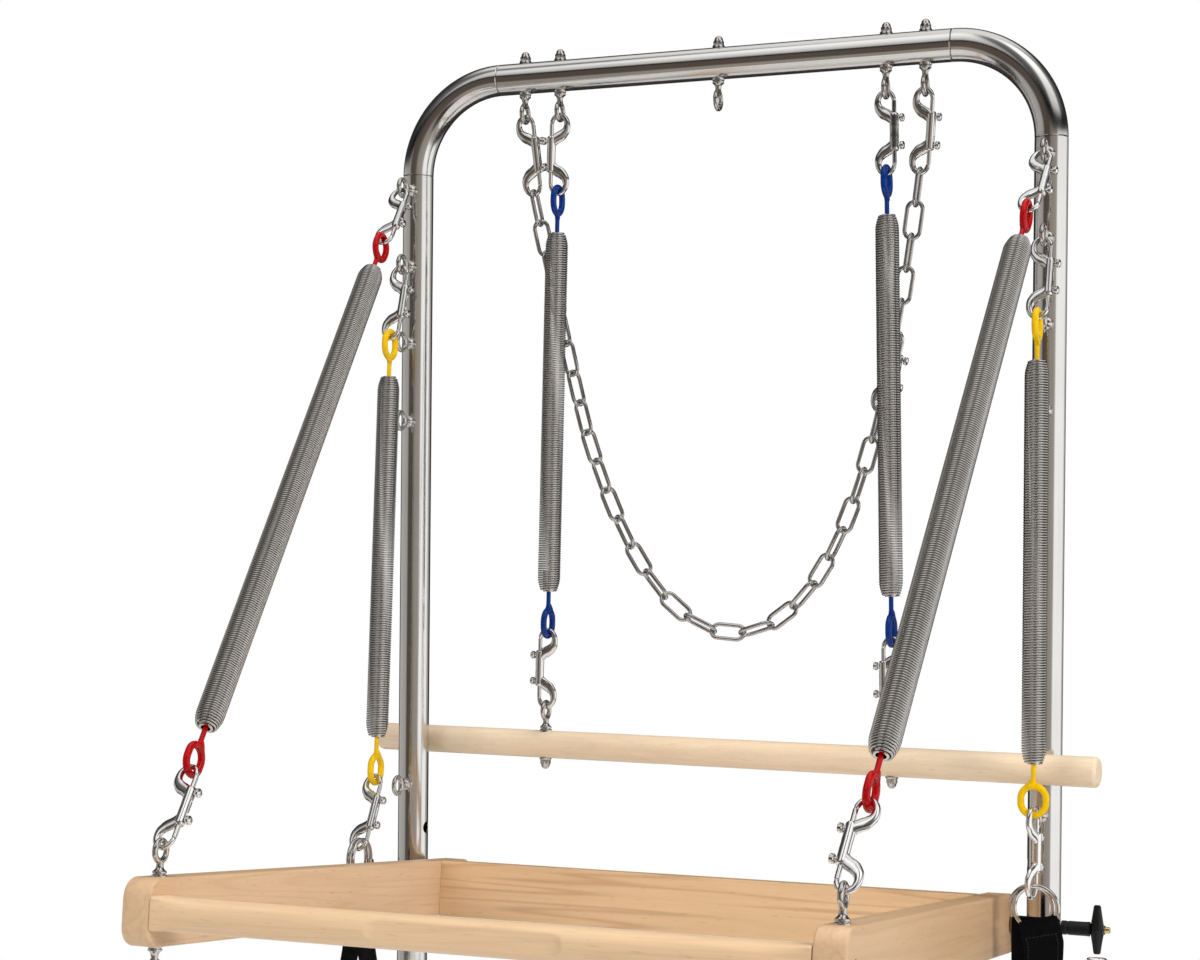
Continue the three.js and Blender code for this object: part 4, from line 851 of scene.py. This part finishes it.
def fanned(shapes, front, back):
    """Both halves of a strap lean apart sideways below their rings and meet again at the loop's bottom."""
    out = []
    for p, f in shapes:
        z = p[:, 2]
        reach = np.where(p[:, 1] > 0, front, back)
        fall = np.cos(math.pi / 2 * np.clip((z - FAN_TOP) / (FAN_LOW - FAN_TOP), 0, 1)) ** 2
        sway = reach * np.where(z < FAN_TOP, z / FAN_TOP, fall)
        tip = -reach / FAN_TOP * fall
        out.append((p + np.column_stack([sway, 0 * z, tip * p[:, 0]]), f))
    return out


for label, side in SIDES:
    eye = np.array([side * UPRIGHT_X, -TUBE - EYE_REACH, YELLOW_Z])
    name, body, strap = f"yellow_{label}", f"{label}_strap_body", f"{label}_strap"
    right = side > 0
    lower_along = leaning(YELLOW_LEAN if right else LEFT_LEAN)
    along = leaning(SNAP_LEAN), leaning(YELLOW_LEAN, YELLOW_SIDE if right else 0), lower_along
    lower_across = np.array([math.cos(RIGHT_TURN), math.sin(RIGHT_TURN), 0]) if right else X
    end = spring_set(name, eye, YELLOW_COIL, short_coil, along, (X, lower_across),
                     (f"{name}_upper", f"{name}_lower", f"{name}_lower"), facing=Y if right else X)
    at = place(end - lower_along * STRAP_SEAT, DOWN, X if right else Y)
    fan = FAN if right else (0, 0)
    band, uv = ribbon(strap_path(), WEB_W, WEB_T)
    piece(f"{strap}_webbing", body, [strap], "webbing", (moved(fanned([band], *fan), at), nylon), uv=uv,
          sharp=50)
    ring = sweep(round_path(STRAP_RING), STRAP_WIRE - 0.1, 16, Y, True)
    rings = [moved([ring], shift(0, sign * STRAP_PITCH / 2, STRAP_RING))[0] for sign in (-1, 1)]
    metal(f"{strap}_rings", body, strap, moved(fanned(rings, *fan), at), ring_steel)
    piece(f"{strap}_stitching", body, [strap], "webbing", (moved(fanned(stitches(), *fan), at), thread))

# Push-through bar


def rounded_outline(low, high, bottom, top, radii, inset):
    """A rectangle in (y, z) with its own radius at each corner, drawn in by an inset."""
    out = []
    for quarter, (y, z) in enumerate(((high, top), (low, top), (low, bottom), (high, bottom))):
        r = radii[quarter]
        cy = y - math.copysign(r, y - (low + high) / 2)
        cz = z - math.copysign(r, z - (bottom + top) / 2)
        r = max(r - inset, 0.05)
        for a in (quarter + np.linspace(0, 1, 9)) * math.pi / 2:
            out.append((cy + r * math.cos(a), cz + r * math.sin(a)))
    return np.array(out)


def plank(low, high, bottom, top, thick, radii, edge, steps=5):
    """A board as thick as given along X, with rounded corners and eased edges, middle at x 0."""
    rise = [(edge * (1 - math.sin(t)), thick / 2 - edge + edge * math.cos(t))
            for t in np.linspace(0, math.pi / 2, steps)]
    rings = []
    for inset, x in [(i, -x) for i, x in rise] + rise[::-1]:
        outline = rounded_outline(low, high, bottom, top, radii, inset)
        rings.append(np.column_stack([np.full(len(outline), x), outline]))
    return skin(rings)


def grip_bar():
    """A round bar with square ends and a long flat on its front, along X, its axis at y 0."""
    end = ARM_IN - 0.3
    square_end = end - GRIP_SQUARE
    flat_end, flat_fade = 72, 14
    # Each station is x, how square the section is, and how deep the flat is.
    stations = [(end, 1.0, 0.0), (square_end, 1.0, 0.0)]
    stations += [(square_end - GRIP_FADE * t, (1 - t) ** 1.6, 0.0) for t in np.linspace(0, 1, 13)[1:]]
    stations += [(150, 0, 0), (97, 0, 0), (88, 0, 0)]
    stations += [(x, 0, math.sqrt(max(0.0, 1 - (max(x - flat_end, 0) / flat_fade) ** 2)))
                 for x in (85.9, 85, 83, 80, 76, 72, 50, 25)]
    a = TURN * (np.arange(48) + 0.5) / 48
    y, z = np.cos(a), np.sin(a)
    box = 1 / (np.abs(y) ** 9 + np.abs(z) ** 9) ** (1 / 9)
    rings = []
    for x, square, flat in [(-x, s, f) for x, s, f in stations] + [(0, 0, 1.0)] + stations[::-1]:
        r = GRIP / 2 * (1 - square + square * box)
        rings.append(np.column_stack([np.full(48, x), np.maximum(y * r, GRIP_FLAT * flat - GRIP / 2), z * r]))
    return skin(rings)


half = ARM_H / 2
board = plank(-ARM_FRONT, ARM_BACK, -half, half, ARM_T, (9, 18, 18, 9), 2.5)
stem = revolve([(0, -half), (3, -half), (3, half), (0, half)], 20)
flange = hollow([(5.1, -13), (7.4, -13), (7.4, 13.7), (9.1, 13.9), (9.6, 14.4), (9.6, 17.2), (9.0, 17.9),
                 (6.4, 18.1), (5.1, 17.4)], 48)
screw = revolve([(0, -1.6), (3.4, -1.6), (3.4, -0.3), (3.0, 0.1), (1.5, 0.12), (1.45, -0.9), (0, -0.95)], 24)
bar = "push_through_bar"
for label, side in SIDES:
    x = side * arm_x
    part = f"ptb_{label}"
    piece(f"{part}_arm_board", bar, [f"{part}_arm"], "maple", (moved([board], PTB @ shift(x)), arm_wood))
    eyes = [moved(eye_loop() + shoulder(0), PTB @ place((x, -PTB_EYE, end * half), end * Z, X))
            for end in (1, -1)]
    metal(f"{part}_double_eyebolt", bar, f"{part}_eyebolt",
          eyes[0] + eyes[1] + moved([stem], PTB @ shift(x, -PTB_EYE)))
    metal(f"{part}_bushing_flange", bar, f"{part}_bushing",
          moved([flange], PTB @ place((x, 0, 0), side * X, Z)), bronze)
    at = PTB @ place((x + side * ARM_T / 2, 25 - ARM_FRONT, 2), side * X, Z)
    piece(f"{part}_grip_screw", bar, [], "polished_steel", (moved([screw], at), black))
back = plank(-BOARD_BACK - BOARD_T, -BOARD_BACK, 0.05 - half, half - 0.05, 2 * (ARM_IN - 0.15),
             (0.9,) * 4, 0.15, 2)
piece("ptb_back_board_plank", bar, ["ptb_back_board"], "maple", (moved([back], PTB), board_wood))
piece("ptb_grip_rail", bar, ["ptb_grip_bar"], "maple",
      (moved([grip_bar()], PTB @ shift(0, GRIP / 2 - ARM_FRONT)), grip_wood))

# Pull pins

HANDLE, HANDLE_AT, BUTTON_AT = 24, 35.2, 42.4
PIN_STEM = UPRIGHT_X + TUBE + 1


def pin_handle():
    """The T-handle, widest at the stem and drawn in to blunt ends."""
    z = np.linspace(-1, 1, 33)
    width = 3.5 + 3.7 * np.clip(1 - np.abs(z), 0, 1) ** 1.15
    path = np.stack([0 * z, HANDLE * z, HANDLE_AT + 0 * z], 1)
    return sweep(path, width * np.where(np.abs(z) > 0.985, 0.8, 1), 24, Z)


# All heights are from the inner end of the black stem.
tip = ARM_IN + 1 - PIN_STEM
shaft = revolve([(0, tip), (3.4, tip), (4.3, tip + 0.5), (4.75, tip + 1.6), (4.75, 2), (0, 2)], 40)
stem = revolve([(0, 0), (6.3, 0), (7, 0.8), (7, 5), (6.6, 5.5), (6.6, 7), (7, 7.5), (7, 24), (7.3, 28),
                (0, 30)], 40)
button = revolve([(0, -5), (3.25, -5), (3.25, 4.3), (2.9, 5.1), (2.0, 5.45), (0, 5.5)], 32)
bezel = hollow([(3.4, -1.4), (4.6, -1.4), (4.6, 0.2), (4.2, 0.6), (3.4, 0.6)], 32)
for label, side in SIDES:
    at = place((side * PIN_STEM, 0, PIVOT_Z), side * X, np.cross(Z, side * X))
    out = at @ shift(0, 0, BUTTON_AT)
    pin, node = f"{label}_pin", f"{label}_pull_pin"
    ring = moved([sweep(round_path(9, 40), 0.9, 10, Y, True)], place((0, -HANDLE - 5.4, HANDLE_AT), X, Z))
    metal(f"{pin}_shaft", pin, node, moved([shaft], at))
    piece(f"{pin}_handle", pin, [node], "black_plastic", (moved([stem, pin_handle()], at), black))
    metal(f"{pin}_lanyard_ring", pin, node, moved(ring, at), ring_steel)
    piece(f"{label}_brass_button", f"{label}_button", [f"{pin}_button"], "brass",
          (moved([button], out), brass))
    metal(f"{label}_button_bezel", pin, node, moved([bezel], out), bronze)

# Chain


def catenary(arc):
    x = CHAIN_SAG * math.asinh(arc / CHAIN_SAG)
    return np.array([x, 0, CHAIN_SAG * (math.cosh(x / CHAIN_SAG) - 1)])


def chain():
    """Three snaps and the links between them on one catenary, in local XZ."""
    link_reach = LINK_WIRE - LINK_OVERLAP / 2
    snap_reach = SNAP_WIRE - LINK_OVERLAP / 2
    span = CHAIN_SAG * math.sinh((CHAIN_X - CHAIN_INSET) / CHAIN_SAG)
    drop = math.sqrt((SNAP - snap_reach) ** 2 - CHAIN_INSET ** 2)
    lift = -drop - catenary(span)[2]
    bow_length = 2 * span * BOW_SHARE
    links, snaps = [], []

    def point(arc):
        bow = CHAIN_BOW * math.sin(math.pi * min(arc + span, bow_length) / bow_length)
        return catenary(arc) + [0, bow, lift]

    def add_link(a, b, roll):
        d = unit(b - a)
        across = unit(np.cross(Y, d))
        across = across * math.cos(roll) + np.cross(d, across) * math.sin(roll)
        line = stadium(LINK_W, np.linalg.norm(b - a) / 2 + link_reach)
        links.extend(moved([sweep(line, LINK_WIRE, 12, Y, True)], place((a + b) / 2, d, across)))

    def add_snap(a, b):
        d = unit(b - a)
        snaps.extend(moved(snap(), place(b + d * (snap_reach - SNAP), d, X)))

    snap_pitch = SNAP - 2 * snap_reach
    pitch = (2 * span - snap_pitch) / CHAIN_LINKS
    add_snap(np.array([-CHAIN_X, 0, 0]), point(-span))
    add_snap(np.array([CHAIN_X, 0, 0]), point(span))
    at = span
    for i in range(CHAIN_SHORT):
        add_link(point(at), point(at - pitch), (i + 1) * math.pi / 2)
        at -= pitch
    add_snap(point(at), point(at - snap_pitch))
    at -= snap_pitch
    run = CHAIN_LINKS - CHAIN_SHORT
    for i in range(run):
        # The long run twists by a quarter turn on its way, so that it fits both snaps.
        twist = math.pi / 2 * i / (run - 1)
        add_link(point(at), point(at - pitch), (i + 1) * math.pi / 2 + twist)
        at -= pitch
    return links, snaps


chain_seat = min(seat_in_eye(CHAIN_TILT + CHAIN_SWING * k / 4) for k in range(5))
chain_at = shift(0, 0, bar_eye_z - chain_seat) @ turn_x(CHAIN_TILT)
for name, shapes, material in zip(("links", "snaps"), chain(), (link_steel, cast_steel)):
    piece(f"safety_chain_{name}", "chain", ["safety_chain"], "chain_steel",
          (moved(shapes, chain_at), material))

# Studio

# The camera, solved from the photograph: its aim, focal length and middle in pixels, and its place
PHOTO_W, PHOTO_H, SENSOR = 1200, 960, 36
YAW, PITCH, ROLL = 0.37769321, -0.00653256, 0.00898286
FOCAL, CENTRE_Y = 2225.7707, 577.58001
CAMERA_AT = 753.54989, -2224.2869, 657.88201


def staged(name, points, faces, material):
    """A piece of the studio, that isn't part of the object."""
    obj = mesh_object(name, points, faces)
    obj.data.materials.append(material)
    return obj


def floor_material():
    n = Nodes("pale_floor")
    dust = n.noise(3, 4.0, 0.6)
    shade = n.ramp(dust, [(0.3, 0.86), (0.7, 0.90)])
    return n.finish(Base_Color=shade, Roughness=0.7, Normal=n.bump(dust, 0.0005, 0.2))


def surround_material():
    """What the metal sees: a bright ceiling, and walls from white through warm grey to dark."""
    n = Nodes("studio_surround")
    split = n.add("SeparateXYZ", Vector=n.coord.outputs["Object"])
    x, y, z = split.outputs[0], split.outputs[1], split.outputs[2]
    c, s = math.cos(YAW), math.sin(YAW)
    azimuth = n.math("ARCTAN2", n.math("ADD", n.times(x, c), n.times(y, s)),
                     n.math("SUBTRACT", n.times(x, s), n.times(y, c)))
    share = n.fit(azimuth, 1 / TURN, 0.5)
    level = n.math("SQRT", n.math("ADD", n.times(x, x), n.times(y, y)))
    rise = n.fit(n.math("ARCTAN2", z, level), 1 / math.pi, 0.5)

    def by_azimuth(*stops):
        """Stops are degrees to the right of the way to the camera, with a level or a colour each."""
        return n.ramp(share, [((d + 180) / 360, colour) for d, colour in stops])

    def by_height(*stops):
        """Stops are degrees above the horizon, with a level each."""
        return n.ramp(rise, [((d + 90) / 180, colour) for d, colour in stops])

    wall = by_azimuth(
        (-180, 0.02), (-140, 0.04), (-130, (0.58, 0.57, 0.56)),
        (-66, (0.46, 0.44, 0.42)), (-56, (0.10, 0.08, 0.065)), (-22, (0.13, 0.105, 0.085)),
        (-10, (0.36, 0.32, 0.28)), (28, (0.44, 0.40, 0.36)), (36, 1.25), (106, 1.2),
        (116, (0.5, 0.49, 0.48)), (132, (0.4, 0.39, 0.38)), (142, 0.03), (180, 0.02))
    front = by_azimuth((-180, 0), (-108, 0), (-82.8, 1), (82.8, 1), (108, 0), (180, 0))
    bands = by_azimuth((-180, 0.15), (-72, 0.2), (-62, 1.2), (-24, 1.2), (-14, 0.12), (10, 0.25), (22, 1.5),
                       (64, 1.5), (76, 0.3), (180, 0.15))
    high = by_height((0, 0), (66, 0), (80, 1), (90, 1))
    heights = by_height((-90, 0.04), (-62, 0.05), (-50, 0.24), (-22, 0.32), (-15, 0.3), (17, 0.02),
                        (24, 0.02), (29, 0.5), (44, 0.8), (60, 1.1), (90, 1.1))
    bright = n.mix(1, heights, n.mix(high, bands, 0.9), "MULTIPLY")
    dim = by_height((-90, 0.05), (-22, 0.05), (17, 0.03), (50, 0.05), (62, 1), (90, 1))
    warm = n.mix(by_height((-14, 1), (-6, 0)), 1, (1.0, 0.90, 0.80))
    around = n.mix(1, n.mix(front, dim, bright), warm, "MULTIPLY")
    shade = n.mix(by_height((-22, 0), (-15, 1), (15, 1), (18, 0)), around, wall)
    glow = n.add("Emission", Color=shade, Strength=1.0)
    n.tree.links.new(glow.outputs[0], n.tree.nodes["Material Output"].inputs[0])
    return n.material


a = TURN * np.arange(72) / 72
disc = np.stack([FLOOR_R * np.cos(a), FLOOR_R * np.sin(a) - 250, np.full(72, -0.8)], 1)
staged("studio_floor", disc, [list(range(72))], floor_material())
a = TURN * np.arange(48) / 48
ball = [np.stack([SURROUND_R * math.sin(t) * np.cos(a), SURROUND_R * math.sin(t) * np.sin(a),
                  np.full(48, SURROUND_R * math.cos(t))], 1) for t in np.linspace(0.02, math.pi - 0.02, 25)]
surround = staged("studio_surround", *skin(ball), surround_material())
surround.location = (0, 0, 0.65)
for ray in ("camera", "diffuse", "transmission", "volume_scatter", "shadow"):
    setattr(surround, "visible_" + ray, False)

# The world is white for the camera, reflections and clear matter, and dimmer as a light.
world = bpy.data.worlds.new("studio_world")
bpy.context.scene.world = world
world.use_nodes = True
tree = world.node_tree
paths = tree.nodes.new("ShaderNodeLightPath")
seen = paths.outputs["Is Camera Ray"]
for ray in ("Is Glossy Ray", "Is Transmission Ray"):
    either = tree.nodes.new("ShaderNodeMath")
    either.operation = "MAXIMUM"
    tree.links.new(seen, either.inputs[0])
    tree.links.new(paths.outputs[ray], either.inputs[1])
    seen = either.outputs[0]
level = tree.nodes.new("ShaderNodeMapRange")
tree.links.new(seen, level.inputs["Value"])
level.inputs["To Min"].default_value = 0.38
level.inputs["To Max"].default_value = 1.0
tree.links.new(level.outputs[0], tree.nodes["Background"].inputs["Strength"])
tree.nodes["Background"].inputs["Color"].default_value = (1, 1, 1, 1)


def lamp(name, position, target, size, power):
    data = bpy.data.lights.new(name, "AREA")
    data.shape, data.size, data.size_y, data.energy = "RECTANGLE", *size, power
    obj = bpy.data.objects.new(name, data)
    bpy.context.scene.collection.objects.link(obj)
    obj.matrix_world = Matrix(place(position, np.subtract(position, target), X).tolist())
    obj.visible_camera = obj.visible_glossy = False


lamp("key_lamp", (3.2, -1.6, 2.4), (0, -0.2, 0.6), (1.4, 1.4), 88)
lamp("fill_lamp", (-1.6, -3.2, 1.6), (0, -0.2, 0.6), (1.6, 2.0), 40)
lamp("top_lamp", (0.4, 0.4, 3.6), (0, 0, 0.6), (1.8, 1.4), 52)

camera = bpy.data.objects.new("camera", bpy.data.cameras.new("camera"))
bpy.context.scene.collection.objects.link(camera)
camera.data.sensor_width = SENSOR
camera.data.lens = FOCAL * SENSOR / PHOTO_W
camera.data.shift_y = (CENTRE_Y - PHOTO_H / 2) / PHOTO_W
ahead = np.array([-math.sin(YAW) * math.cos(PITCH), math.cos(YAW) * math.cos(PITCH), math.sin(PITCH)])
level_x = unit(np.cross(ahead, Z))
rolled = level_x * math.cos(ROLL) + np.cross(level_x, ahead) * math.sin(ROLL)
camera.matrix_world = Matrix(place(np.multiply(CAMERA_AT, MM), -ahead, rolled).tolist())
camera.data.clip_start, camera.data.clip_end = 0.05, 30
bpy.context.scene.camera = camera
bpy.context.scene.view_settings.view_transform = "Standard"
